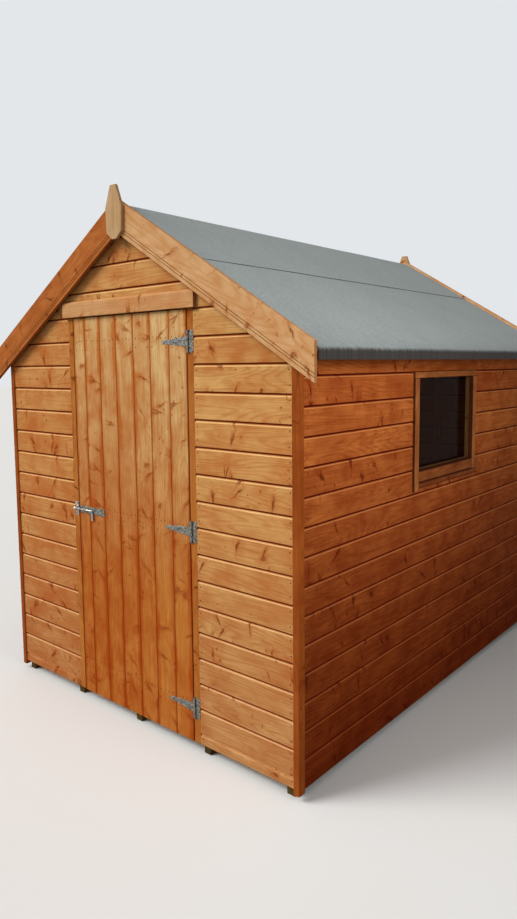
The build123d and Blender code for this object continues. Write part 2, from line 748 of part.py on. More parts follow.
# Each piece is written under its own name
PIECES = {
    "floor_bearers": floor_bearers,
    "floor_boards": floor_boards,
    "front_wall_left": front_wall_left,
    "front_wall_right": front_wall_right,
    "front_gable": front_gable,
    "back_wall": back_wall,
    "left_wall": left_wall,
    "right_wall": right_wall,
    "front_studs": front_studs,
    "front_rails": front_rails,
    "back_studs": back_studs,
    "back_rails": back_rails,
    "left_studs": left_studs,
    "left_rails": left_rails,
    "right_studs": right_studs,
    "right_rails": right_rails,
    "corner_strips": corner_strips,
    "door_jambs": door_jambs,
    "drip_board": drip_board,
    "door_leaf": door_leaf,
    "door_ledges": door_ledges,
    "door_braces": door_braces,
    "hinge_plates": hinge_plates,
    "hinge_straps": hinge_straps,
    "bolt_plate": bolt_plate,
    "bolt_bar": bolt_bar,
    "bolt_keeper": bolt_keeper,
    "window_frame": window_frame,
    "window_sill": window_sill,
    "window_glass": window_glass,
    "roof_left": roof_left,
    "roof_right": roof_right,
    "felt_left": felt_left,
    "felt_right": felt_right,
    "ridge_felt": ridge_felt,
    "eaves_battens": eaves_battens,
    "roof_purlins": roof_purlins,
    "ridge_board": ridge_board,
    "front_barge_left": front_barge_left,
    "front_barge_right": front_barge_right,
    "back_barge_left": back_barge_left,
    "back_barge_right": back_barge_right,
    "front_finial": front_finial,
    "back_finial": back_finial,
}

for name, piece in PIECES.items():
    piece.part.label = name
    export_step(piece.part, f"parts/{name}.step")
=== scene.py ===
"""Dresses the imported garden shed: shiplap boards and trim in stained softwood, sawn framing,
galvanised ironmongery, mineral roofing felt and a glazed window, in a plain pale studio."""

import logging
import math
import random
from dataclasses import dataclass
from enum import Enum

import bmesh
import bpy
from mathutils import Matrix, Vector, noise


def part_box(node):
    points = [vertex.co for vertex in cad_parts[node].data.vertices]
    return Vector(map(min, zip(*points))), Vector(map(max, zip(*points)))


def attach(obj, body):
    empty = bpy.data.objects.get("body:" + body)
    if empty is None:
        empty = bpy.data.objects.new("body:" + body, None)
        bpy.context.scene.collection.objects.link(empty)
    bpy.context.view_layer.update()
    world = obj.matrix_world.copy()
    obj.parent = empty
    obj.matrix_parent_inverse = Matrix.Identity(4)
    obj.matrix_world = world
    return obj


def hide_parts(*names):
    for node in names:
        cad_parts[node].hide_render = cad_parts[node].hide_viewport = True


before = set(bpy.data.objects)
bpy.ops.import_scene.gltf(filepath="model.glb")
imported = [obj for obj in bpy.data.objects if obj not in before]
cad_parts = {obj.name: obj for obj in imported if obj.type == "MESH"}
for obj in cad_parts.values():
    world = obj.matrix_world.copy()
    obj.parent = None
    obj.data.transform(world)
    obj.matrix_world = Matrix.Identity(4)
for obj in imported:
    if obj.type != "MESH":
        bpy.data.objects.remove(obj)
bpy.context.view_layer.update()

LOG = logging.getLogger("garden_shed")

Node = bpy.types.Node
Tree = bpy.types.NodeTree
Source = bpy.types.Node | bpy.types.NodeSocket
Mesh = bmesh.types.BMesh
Edges = list[bmesh.types.BMEdge]
Range = tuple[float, float]
Triple = tuple[float, float, float]
SawCut = tuple[Vector, Vector]

MM = 0.001
TOUCH = 1e-6
MERGE = 0.01 * MM
FLAT = math.radians(0.5)
ROOF_PITCH = math.radians(31.5)
SHED, DOOR, BOLT = "shed", "door", "bolt"
X, Y, Z = Vector((1, 0, 0)), Vector((0, 1, 0)), Vector((0, 0, 1))

# Names of the two vectors that every vertex carries: its place in the log, and its board's
# tone, how far up the board it lies and whether it is end grain; on felt, its wear and painted shade
GRAIN = "grain"
LOOK = "look"

# How far into the noise a board's place in the log may lie, how squarely a face has to look
# along the board to be end grain, and half the width that makes it more than an arris
LOG_REACH = 9.0
END_FACING = 0.6
SLIVER = 1.5 * MM


def linear(hex_colour: str) -> tuple[float, float, float, float]:
    """Turns an sRGB hex value into the linear colour that a shader takes.

    Args:
        hex_colour: Six hex digits after a hash sign.

    Returns:
        Red, green, blue and an alpha of one.
    """
    parts = [int(hex_colour[i:i + 2], 16) / 255 for i in (1, 3, 5)]
    red, green, blue = (p / 12.92 if p <= 0.04045 else ((p + 0.055) / 1.055) ** 2.4 for p in parts)
    return red, green, blue, 1.0


def feed(node: Node, inputs: dict[int | str, object]) -> None:
    """Sets or links a node's inputs.

    Args:
        node: The node.
        inputs: For each input, the node or the output that feeds it, or the value that it holds.
    """
    for key, value in inputs.items():
        if isinstance(value, Node):
            value = value.outputs[0]
        if isinstance(value, bpy.types.NodeSocket):
            node.id_data.links.new(value, node.inputs[key])
        else:
            node.inputs[key].default_value = value


def add_node(
    tree: Tree, kind: str, inputs: dict[int | str, object] | None = None, **settings: object
) -> Node:
    """Adds a node, gives it its settings and sets or links its inputs.

    Args:
        tree: The material's or the world's nodes.
        kind: The node's type name, without the word that all shader nodes start with.
        inputs: For each input, the node or the output that feeds it, or the value that it holds.
        settings: The node's own properties.

    Returns:
        The new node.
    """
    node = tree.nodes.new(f"ShaderNode{kind}")
    for name, value in settings.items():
        setattr(node, name, value)
    feed(node, inputs or {})
    return node


def seen(tree: Tree) -> Node:
    """Gives one for rays that show a thing, straight or in metal and glass, and else nothing.

    Args:
        tree: The nodes of the floor or the sky.

    Returns:
        The node that gives it.
    """
    path = add_node(tree, "LightPath").outputs
    inputs = {0: path["Is Camera Ray"], 1: path["Is Glossy Ray"]}
    mirrored = add_node(tree, "Math", inputs, operation="MAXIMUM")
    return add_node(tree, "Math", {0: mirrored, 1: path["Is Transmission Ray"]}, operation="MAXIMUM")


class Finish:
    """What a piece is made of. Its material is made once and then found by its name."""

    name: str

    def material(self) -> bpy.types.Material:
        """Gives the finish's material."""
        found = bpy.data.materials.get(self.name)
        if found:
            return found
        made = bpy.data.materials.new(self.name)
        made.use_nodes = True
        shader = next(n for n in made.node_tree.nodes if n.type == "BSDF_PRINCIPLED")
        feed(shader, self.paint(made.node_tree))
        return made

    def paint(self, tree: Tree) -> dict[str, object]:
        """Adds the finish's nodes.

        Args:
            tree: The material's nodes.

        Returns:
            For each input of the shader, what feeds it or the value that it holds.
        """
        raise NotImplementedError


@dataclass(frozen=True)
class Figure:
    """One layer of the wood's figure, noise that is drawn out along the grain.

    Attributes:
        along: How many swings it makes in a metre along the grain.
        across: How many it makes across it.
        detail: How much finer noise it carries.
        share: How much it counts in the depth of the stain.
        roughness: How strong the finer noise is.
    """

    along: float
    across: float
    detail: float
    share: float = 0.0
    roughness: float = 0.6

    def draw(self, tree: Tree, grain: Source) -> Node:
        """Draws the layer.

        Args:
            tree: The material's nodes.
            grain: The place in the log.

        Returns:
            The noise, a half on average.
        """
        rate = (self.along, self.across, self.across)
        place = add_node(tree, "VectorMath", {0: grain, 1: rate}, operation="MULTIPLY")
        inputs = {"Vector": place, "Scale": 1.0, "Detail": self.detail, "Roughness": self.roughness}
        return add_node(tree, "TexNoise", inputs)


# Streaks where the stain sinks deeper, lines and fibres between them, and blotches where a
# board drank more
STREAKS = Figure(2.2, 58.0, 4.0, 0.85)
LINES = Figure(7.0, 170.0, 3.0, 0.9)
FIBRES = Figure(14.0, 520.0, 2.0, 0.35)
BLOTCHES = Figure(7.0, 9.0, 3.0, 0.55)
# Branches grow in whorls, so knots stand in groups with clear wood between
WHORLS = Figure(2.6, 1.2, 1.0)
# A slow swell whose contour lines are the growth rings
SWELL = Figure(0.75, 7.0, 1.2, roughness=0.5)
# How unevenly the stain bleeds out of a joint
BLEEDING = Figure(3.2, 16.0, 3.0)


@dataclass(frozen=True)
class KnotKind:
    """One way that a branch is met by the saw.

    Attributes:
        cell: The length and the width of wood that holds at most one.
        share: The share of cells that hold one, in the knottiest wood.
        size: The largest one's half width.
        stretch: How many times longer it is than wide.
        swing: How far it may turn from lying straight across the board, in radians.
        taper: How much narrower it is at one end than at the other.
        twin: How many half widths the two arms of a forked one stand from its middle.
        core: How dark its heart is.
        rim: How dark its bark ring is.
    """

    cell: Range
    share: float
    size: float
    stretch: float
    swing: float
    taper: float
    twin: float
    core: float
    rim: float


KNOT_KINDS = (
    KnotKind((210 * MM, 120 * MM), 0.3, 8 * MM, 1.5, 1.2, 0.3, twin=0.0, core=0.72, rim=0.6),
    KnotKind((190 * MM, 105 * MM), 0.3, 4.5 * MM, 5.2, 0.8, 0.6, twin=1.9, core=0.85, rim=0.3),
    KnotKind((140 * MM, 85 * MM), 0.5, 5.5 * MM, 4.6, 1.0, 0.7, twin=0.0, core=0.9, rim=0.25),
    KnotKind((60 * MM, 52 * MM), 0.34, 2.4 * MM, 1.5, 1.2, 0.3, twin=0.0, core=0.9, rim=0.2),
)


@dataclass(frozen=True)
class Softwood(Finish):
    """Planed or sawn spruce, bare or under a thin spirit stain.

    The stain is clear enough to show the growth rings, streaks and knots, goes on darker in
    joints and on end grain, and leaves hardly any sheen. Some boards also carry painted shade
    under a shiplap's overlap and towards the ground, and a painted highlight on the cove.

    Attributes:
        early: The pale wood of spring, stained.
        late: The dark wood of autumn, and where the stain sank deep.
        red: The redder tone of some boards and blotches.
        knot: The heart of a knot.
        joint: The stain that gathers in joints and end grain; under a shiplap's overlap also painted shade.
        joint_width: How far that reaches from the joint.
        joint_strength: How much of it shows.
        lapped: Whether only the upper edge is a joint, as under a shiplap's overlap.
        bleed: How far a redder tone bleeds out of the joints.
        crest: A painted highlight on the proud lower part of the cove, where it faces the sky.
        crest_from: How far under the board's upper edge it starts.
        crest_to: How far under the edge it ends.
        board_half: Half the board's width.
        knotty: How many knots there are.
        patchy: How strong the blotches are.
        streaky: How strong the streaks, lines and fibres are.
        foot: What the colour is multiplied by near the ground, darker towards the bottom; on the side walls
            it is painted shade.
        foot_full: The level up to which it is so in full.
        foot_height: The level where that ends.
        roughness: The surface's roughness.
        sheen: The strength of its mirroring.
        ring_share: How much the growth rings count in the depth of the stain.
        ring_rate: How many rings a whole swing of the slow swell makes, times two pi.
        ring_bend: How far they bend round a knot, beside a whole swing.
        ruddy_board: How much redder one board may be than another.
        ruddy_blotch: How much redder a blotch is.
        ruddy_knot: How much redder the wood round a knot is.
        end_soak: How much darker end grain is.
        relief: How far the grain stands out.
    """

    name: str
    early: str
    late: str
    red: str
    knot: str
    joint: str
    joint_width: float = 3 * MM
    joint_strength: float = 0.8
    lapped: bool = False
    bleed: float = 0.0
    crest: str = ""
    crest_from: float = 5 * MM
    crest_to: float = 14 * MM
    board_half: float = 55 * MM
    knotty: float = 0.5
    patchy: float = 1.0
    streaky: float = 1.0
    foot: str = ""
    foot_full: float = 0.0
    foot_height: float = 1.0
    roughness: float = 0.68
    sheen: float = 0.02
    ring_share: float = 0.26
    ring_rate: float = 210.0
    ring_bend: float = 0.03
    ruddy_board: float = 0.42
    ruddy_blotch: float = 0.45
    ruddy_knot: float = 0.3
    end_soak: float = 0.55
    relief: float = 0.5 * MM

    def paint(self, tree: Tree) -> dict[str, object]:
        """Lays the figure, the stain, the knots, the joints, painted shade and a painted highlight.

        Args:
            tree: The material's nodes.

        Returns:
            The shader's inputs.
        """
        grain = add_node(tree, "Attribute", attribute_name=GRAIN).outputs["Vector"]
        look = add_node(tree, "Attribute", attribute_name=LOOK).outputs["Vector"]
        tone, span, end = add_node(tree, "SeparateXYZ", {0: look}).outputs
        edge = add_node(tree, "Math", {0: span}, operation="ABSOLUTE")
        heart, swirl = self._all_knots(tree, grain)

        # Contour lines of a slow swell, drawn out along the board, are the growth rings. They
        # bend round the knots, and are as far apart as in fast-grown spruce.
        swell = SWELL.draw(tree, grain)
        bent = add_node(tree, "Math", {0: swirl, 1: self.ring_bend, 2: swell}, operation="MULTIPLY_ADD")
        phase = add_node(tree, "Math", {0: bent, 1: self.ring_rate}, operation="MULTIPLY")
        wave = add_node(tree, "Math", {0: phase}, operation="SINE")
        rings = add_node(tree, "MapRange", {0: wave, 1: -0.2, 2: 1.0}, interpolation_type="SMOOTHSTEP")

        figures = (STREAKS, LINES, FIBRES, BLOTCHES)
        layers = [figure.draw(tree, grain) for figure in figures]
        streaks, lines, fibres, blotches = layers
        strengths = (self.streaky, self.streaky, self.streaky, self.patchy)
        shares = [figure.share * strength for figure, strength in zip(figures, strengths)]
        # Each layer is a half on average, and so is the depth of the stain
        least = 0.5 - (self.ring_share + sum(shares)) / 2
        depth = add_node(tree, "Math", {0: rings, 1: self.ring_share, 2: least}, operation="MULTIPLY_ADD")
        for layer, share in zip(layers, shares):
            depth = add_node(tree, "Math", {0: layer, 1: share, 2: depth}, operation="MULTIPLY_ADD")
        inputs = {0: depth, 6: linear(self.early), 7: linear(self.late)}
        colour = add_node(tree, "Mix", inputs, data_type="RGBA").outputs[2]

        # A redder tone by board, in blotches, round the knots and where a joint bleeds
        ruddy = add_node(tree, "MapRange", {0: blotches, 1: 0.4, 2: 0.7, 4: self.ruddy_blotch * self.patchy})
        ruddy = add_node(tree, "Math", {0: tone, 1: self.ruddy_board, 2: ruddy}, operation="MULTIPLY_ADD")
        ruddy = add_node(tree, "Math", {0: swirl, 1: self.ruddy_knot, 2: ruddy}, operation="MULTIPLY_ADD")
        if self.bleed:
            ruddy = add_node(tree, "Math", {0: self._bled(tree, grain, edge), 1: ruddy}, operation="ADD")
        overlays = [(ruddy, self.red)]
        # A painted highlight on the cove's lower half, where it faces the sky
        if self.crest:
            overlays.append((self._cove_highlight(tree, span), self.crest))
        for share, top in overlays:
            inputs = {0: share, 6: colour, 7: linear(top)}
            colour = add_node(tree, "Mix", inputs, data_type="RGBA").outputs[2]
        # Darker towards the ground: on the side walls this is painted shade
        if self.foot:
            inputs = {0: self._low(tree), 6: colour, 7: linear(self.foot)}
            colour = add_node(tree, "Mix", inputs, data_type="RGBA", blend_type="MULTIPLY").outputs[2]

        # The stain gathers where two boards meet and sinks into end grain. Under a shiplap's
        # overlap the wide dark band is also painted shade in the gap.
        reach = self.joint_width / self.board_half
        inputs = {0: span if self.lapped else edge, 1: 1 - reach, 2: 1 - 0.6 * reach, 4: self.joint_strength}
        near = add_node(tree, "MapRange", inputs, interpolation_type="SMOOTHSTEP")
        soaked = add_node(tree, "Math", {0: end, 1: self.end_soak}, operation="MULTIPLY")
        pooled_and_shaded = add_node(tree, "Math", {0: near, 1: soaked}, operation="MAXIMUM")
        for share, top in ((heart, self.knot), (pooled_and_shaded, self.joint)):
            inputs = {0: share, 6: colour, 7: linear(top)}
            colour = add_node(tree, "Mix", inputs, data_type="RGBA").outputs[2]

        relief = fibres
        for layer, share in ((rings, 0.35), (lines, 1.2), (swirl, 1.5)):
            relief = add_node(tree, "Math", {0: layer, 1: share, 2: relief}, operation="MULTIPLY_ADD")
        inputs = {0: streaks, 1: 0.3, 2: 0.7, 3: self.roughness - 0.08, 4: self.roughness + 0.1}
        return {
            "Base Color": colour,
            "Roughness": add_node(tree, "MapRange", inputs),
            "Specular IOR Level": self.sheen,
            "Normal": add_node(tree, "Bump", {"Height": relief, "Distance": self.relief, "Strength": 0.8}),
        }

    def _low(self, tree: Tree) -> Node:
        """Gives one near the ground, so that the colour is darker towards the bottom: on the side walls
        painted shade.

        Args:
            tree: The material's nodes.

        Returns:
            One near the ground that fades to nothing higher up.
        """
        place = add_node(tree, "TexCoord").outputs["Object"]
        height = add_node(tree, "SeparateXYZ", {0: place}).outputs[2]
        inputs = {0: height, 1: self.foot_full, 2: self.foot_height, 3: 1.0, 4: 0.0}
        return add_node(tree, "MapRange", inputs, interpolation_type="SMOOTHSTEP")

    def _bled(self, tree: Tree, grain: Source, edge: Source) -> Node:
        """Lets the stain bleed unevenly out of the joints along a board's edges.

        Args:
            tree: The material's nodes.
            grain: The place in the log.
            edge: One at the board's edges and nothing at its middle.

        Returns:
            How much redder the wood is there.
        """
        uneven = BLEEDING.draw(tree, grain)
        reach = add_node(tree, "Math", {0: uneven, 1: 1.5, 2: -0.78}, operation="MULTIPLY_ADD")
        reach = add_node(tree, "Math", {0: edge, 1: reach}, operation="ADD")
        inputs = {0: reach, 1: 1 - self.bleed / self.board_half, 2: 1.05, 4: 0.62}
        return add_node(tree, "MapRange", inputs, interpolation_type="SMOOTHSTEP")

    def _cove_highlight(self, tree: Tree, span: Source) -> Node:
        """Paints a highlight on the proud lower half of the cove along a board's upper edge.

        Args:
            tree: The material's nodes.
            span: One at the board's upper edge and minus one at its lower.

        Returns:
            How much of the paler colour shows.
        """
        middle = 1 - (self.crest_from + self.crest_to) / 2 / self.board_half
        half = (self.crest_to - self.crest_from) / 2 / self.board_half
        off = add_node(tree, "Math", {0: span, 1: middle}, operation="SUBTRACT")
        off = add_node(tree, "Math", {0: off}, operation="ABSOLUTE")
        inputs = {0: off, 1: 0.3 * half, 2: 1.2 * half, 3: 0.6, 4: 0.0}
        return add_node(tree, "MapRange", inputs, interpolation_type="SMOOTHSTEP")

    def _all_knots(self, tree: Tree, grain: Source) -> tuple[Node, Node]:
        """Scatters knots of every kind over the boards.

        Args:
            tree: The material's nodes.
            grain: The place in the log.

        Returns:
            How dark the knots are, and one on a knot that fades to nothing round it.
        """
        ragged = add_node(tree, "TexNoise", {"Vector": grain, "Scale": 150.0, "Detail": 3.0})
        whorls = WHORLS.draw(tree, grain)
        bow = add_node(tree, "TexNoise", {"Vector": grain, "Scale": 28.0, "Detail": 1.0}).outputs["Color"]
        bow = add_node(tree, "VectorMath", {0: bow, 1: (0.5, 0.5, 0.5)}, operation="SUBTRACT")
        bow = add_node(tree, "VectorMath", {0: bow, "Scale": 24 * MM}, operation="SCALE")
        bowed = add_node(tree, "VectorMath", {0: grain, 1: bow}, operation="ADD")
        found = [self._knots(tree, bowed, ragged, whorls, kind) for kind in KNOT_KINDS]
        heart, swirl = found[0]
        for other_heart, other_swirl in found[1:]:
            heart = add_node(tree, "Math", {0: heart, 1: other_heart}, operation="MAXIMUM")
            swirl = add_node(tree, "Math", {0: swirl, 1: other_swirl}, operation="MAXIMUM")
        return heart, swirl

    def _knots(
        self, tree: Tree, grain: Source, ragged: Source, whorls: Source, kind: KnotKind
    ) -> tuple[Node, Node]:
        """Scatters knots of one kind over the boards.

        Args:
            tree: The material's nodes.
            grain: The place in the log.
            ragged: Noise that makes their outlines uneven.
            whorls: Slow noise, high where the branches stood.
            kind: The kind of knot.

        Returns:
            How dark the knot is, and one on the knot that fades to nothing round it.
        """
        length, width = kind.cell
        squash = (1 / length, 1 / width, 0.0)
        scaled = add_node(tree, "VectorMath", {0: grain, 1: squash}, operation="MULTIPLY")
        inputs = {"Vector": scaled, "Scale": 1.0, "Randomness": 0.7}
        cells = add_node(tree, "TexVoronoi", inputs, voronoi_dimensions="2D").outputs
        chance, turn, _ = add_node(tree, "SeparateXYZ", {0: cells["Color"]}).outputs
        apart = add_node(tree, "VectorMath", {0: scaled, 1: cells["Position"]}, operation="SUBTRACT")
        local = add_node(tree, "VectorMath", {0: apart, 1: (length, width, 0.0)}, operation="MULTIPLY")
        inputs = {0: turn, 3: math.pi / 2 - kind.swing, 4: math.pi / 2 + kind.swing}
        angle = add_node(tree, "MapRange", inputs)
        turned = add_node(tree, "VectorRotate", {"Vector": local, "Angle": angle}, rotation_type="Z_AXIS")
        squeeze = (1 / (kind.stretch * kind.size), 1 / kind.size, 0.0)
        squeezed = add_node(tree, "VectorMath", {0: turned, 1: squeeze}, operation="MULTIPLY")
        ahead, aside, _ = add_node(tree, "SeparateXYZ", {0: squeezed}).outputs

        # The knot narrows towards one end, and a forked one parts into two arms
        wedge = add_node(tree, "MapRange", {0: ahead, 1: -1.0, 2: 1.0, 3: 1.15, 4: 1.15 - kind.taper})
        fork = add_node(tree, "MapRange", {0: ahead, 1: -1.0, 2: 1.0, 3: kind.twin, 4: 0.0})
        arms = add_node(tree, "Math", {0: aside}, operation="ABSOLUTE")
        arms = add_node(tree, "Math", {0: arms, 1: fork}, operation="SUBTRACT")
        thin = add_node(tree, "Math", {0: arms, 1: wedge}, operation="DIVIDE")
        drawn = add_node(tree, "CombineXYZ", {0: ahead, 1: thin})
        far = add_node(tree, "VectorMath", {0: drawn}, operation="LENGTH").outputs["Value"]

        # Only lucky cells hold a knot, and the luckiest the largest
        luck = add_node(tree, "MapRange", {0: whorls, 1: 0.36, 2: 0.64, 3: -0.3, 4: 0.3})
        luck = add_node(tree, "Math", {0: chance, 1: luck}, operation="ADD")
        missing = 1 - kind.share * self.knotty
        radius = add_node(tree, "MapRange", {0: luck, 1: missing, 2: missing + 0.2, 3: 0.0001, 4: 1.0})
        steps = add_node(tree, "Math", {0: far, 1: radius}, operation="DIVIDE")
        uneven = add_node(tree, "MapRange", {0: ragged, 1: 0.3, 2: 0.7, 3: -0.5, 4: 0.5})
        steps = add_node(tree, "Math", {0: steps, 1: uneven}, operation="ADD")
        inputs = {0: steps, 1: 0.35, 2: 1.3, 3: kind.core, 4: 0.0}
        core = add_node(tree, "MapRange", inputs, interpolation_type="SMOOTHSTEP")
        off = add_node(tree, "Math", {0: steps, 1: 1.0}, operation="SUBTRACT")
        off = add_node(tree, "Math", {0: off}, operation="ABSOLUTE")
        inputs = {0: off, 1: 0.1, 2: 0.55, 3: kind.rim, 4: 0.0}
        rim = add_node(tree, "MapRange", inputs, interpolation_type="SMOOTHSTEP")
        heart = add_node(tree, "Math", {0: core, 1: rim}, operation="MAXIMUM")
        inputs = {0: steps, 1: 0.6, 2: 4.2, 3: 1.0, 4: 0.0}
        return heart, add_node(tree, "MapRange", inputs, interpolation_type="SMOOTHERSTEP")


@dataclass(frozen=True)
class GalvanisedSteel(Finish):
    """Hot-dip galvanised pressed steel: a dull grey skin of zinc crystals, each its own shade."""

    name: str
    pale: str = "#918F87"
    dark: str = "#56544D"
    spangle: float = 5 * MM
    roughness: float = 0.5
    metal: float = 0.7

    def paint(self, tree: Tree) -> dict[str, object]:
        """Shades and raises each crystal a little.

        Args:
            tree: The material's nodes.

        Returns:
            The shader's inputs.
        """
        place = add_node(tree, "TexCoord").outputs["Object"]
        crystals = add_node(tree, "TexVoronoi", {"Vector": place, "Scale": 1 / self.spangle}).outputs
        shade = add_node(tree, "SeparateXYZ", {0: crystals["Color"]})
        shade = add_node(tree, "MapRange", {0: shade, 1: 0.2, 2: 0.8})
        inputs = {0: shade, 6: linear(self.dark), 7: linear(self.pale)}
        colour = add_node(tree, "Mix", inputs, data_type="RGBA").outputs[2]
        shine = {0: shade, 3: self.roughness - 0.1, 4: self.roughness + 0.12}
        raised = {"Height": crystals["Distance"], "Distance": 0.2 * MM, "Strength": 0.4}
        return {
            "Base Color": colour,
            "Metallic": self.metal,
            "Roughness": add_node(tree, "MapRange", shine),
            "Normal": add_node(tree, "Bump", raised),
        }


@dataclass(frozen=True)
class Mottled(Finish):
    """A matt finish of two near shades.

    Attributes:
        colour: The one shade.
        dark: The other.
        rate: How many swings it makes between them in a metre.
        inputs: What else is set on the shader.
    """

    name: str
    colour: str
    dark: str
    rate: float
    inputs: tuple[tuple[str, float], ...]

    def paint(self, tree: Tree) -> dict[str, object]:
        """Mixes the two shades.

        Args:
            tree: The material's nodes.

        Returns:
            The shader's inputs.
        """
        place = add_node(tree, "TexCoord").outputs["Object"]
        mottle = add_node(tree, "TexNoise", {"Vector": place, "Scale": self.rate})
        inputs = {0: mottle, 6: linear(self.colour), 7: linear(self.dark)}
        return {"Base Color": add_node(tree, "Mix", inputs, data_type="RGBA").outputs[2], **dict(self.inputs)}


# Steel wire nails, dark and matt from the stain that they were dipped in with the panels
WIRE_NAIL = Mottled(
    "dipped_steel_nails", "#22110A", "#170D08", 90.0,
    (("Metallic", 0.1), ("Roughness", 0.8), ("Specular IOR Level", 0.1)),
)
# The bare edge of cut roofing felt, matt and greyed by slate dust
BITUMEN = Mottled("bitumen_edge", "#4A4D4C", "#393B3A", 120.0, (("Roughness", 0.8),))


@dataclass(frozen=True)
class MineralFelt(Finish):
    """Bitumen roofing felt faced with crushed slate: matt, grey-green, speckled by its grit."""

    name: str = "slate_faced_felt"
    grit_pale: str = "#A5ACA9"
    grit_dark: str = "#747B7A"
    # The bitumen shows where the grit is worn, and also stands as painted shade along the eaves and the hang
    bitumen: str = "#21150D"
    dark_from: float = 0.42
    grain: float = 6 * MM

    def paint(self, tree: Tree) -> dict[str, object]:
        """Strews the grit, wears it off round the eaves and darkens the eaves and the hang as painted shade.

        Args:
            tree: The material's nodes.

        Returns:
            The shader's inputs.
        """
        place = add_node(tree, "TexCoord").outputs["Object"]
        # The grit is under 2 mm and is drawn coarser, so that the speckle shows from afar
        inputs = {"Vector": place, "Scale": 1 / self.grain, "Detail": 3.0, "Roughness": 0.7}
        grit = add_node(tree, "TexNoise", inputs)
        drifts = add_node(tree, "TexNoise", {"Vector": place, "Scale": 4.0, "Detail": 4.0})
        speck = add_node(tree, "MapRange", {0: grit, 1: 0.32, 2: 0.68})
        shade = add_node(tree, "Math", {0: speck, 1: 0.66, 2: 0.05}, operation="MULTIPLY_ADD")
        shade = add_node(tree, "Math", {0: drifts, 1: 0.26, 2: shade}, operation="MULTIPLY_ADD")
        inputs = {0: shade, 6: linear(self.grit_dark), 7: linear(self.grit_pale)}
        colour = add_node(tree, "Mix", inputs, data_type="RGBA").outputs[2]

        # Round the eaves the grit has come off in strokes and the bitumen shows; the darkening
        # near the eaves and down the hang is mostly painted shade
        look = add_node(tree, "Attribute", attribute_name=LOOK).outputs["Vector"]
        hang = add_node(tree, "SeparateXYZ", {0: look}).outputs[2]
        down = add_node(tree, "VectorMath", {0: place, 1: (9.0, 480.0, 7.0)}, operation="MULTIPLY")
        strokes = add_node(tree, "TexNoise", {"Vector": down, "Scale": 1.0, "Detail": 4.0})
        strokes = add_node(tree, "MapRange", {0: strokes, 3: -0.3, 4: 0.3})
        worn_and_shaded = add_node(tree, "Math", {0: strokes, 1: hang}, operation="ADD")
        inputs = {0: worn_and_shaded, 1: 0.04, 2: self.dark_from}
        worn_and_shaded = add_node(tree, "MapRange", inputs, interpolation_type="SMOOTHSTEP")
        # Some grit still clings between the strokes
        clear = add_node(tree, "MapRange", {0: strokes, 1: -0.08, 2: 0.08, 3: 0.9, 4: 0.99})
        worn_and_shaded = add_node(tree, "Math", {0: worn_and_shaded, 1: clear}, operation="MULTIPLY")
        inputs = {0: worn_and_shaded, 6: colour, 7: linear(self.bitumen)}
        return {
            "Base Color": add_node(tree, "Mix", inputs, data_type="RGBA").outputs[2],
            "Roughness": 0.92,
            "Normal": add_node(tree, "Bump", {"Height": grit, "Distance": 1.2 * MM, "Strength": 0.5}),
        }


@dataclass(frozen=True)
class WindowGlass(Finish):
    """Horticultural glass, 3 mm, a little dusty.

    Its index is far below bare glass, so that the pale studio hardly shows in it: the real pane
    has only dark surroundings to mirror.
    """

    name: str = "horticultural_glass"
    tint: str = "#9A6850"
    index: float = 1.045
    clear: float = 0.972

    def paint(self, tree: Tree) -> dict[str, object]:
        """Lays a thin film of dust on the pane.

        Args:
            tree: The material's nodes.

        Returns:
            The shader's inputs.
        """
        place = add_node(tree, "TexCoord").outputs["Object"]
        dust = add_node(tree, "TexNoise", {"Vector": place, "Scale": 9.0, "Detail": 4.0})
        return {
            "Base Color": linear(self.tint),
            "Roughness": add_node(tree, "MapRange", {0: dust, 1: 0.5, 2: 0.8, 3: 0.03, 4: 0.16}),
            "Transmission Weight": self.clear,
            "IOR": self.index,
        }


@dataclass(frozen=True)
class StudioFloor(Finish):
    """A painted floor, pale to the eye, that throws back as much light as paving does."""

    name: str = "studio_floor"
    shown: str = "#D6D5D2"
    bounce: str = "#8C8A86"

    def paint(self, tree: Tree) -> dict[str, object]:
        """Shows the one colour and lights the shed with the other.

        Args:
            tree: The material's nodes.

        Returns:
            The shader's inputs.
        """
        inputs = {0: seen(tree), 6: linear(self.bounce), 7: linear(self.shown)}
        return {"Base Color": add_node(tree, "Mix", inputs, data_type="RGBA").outputs[2], "Roughness": 0.9}


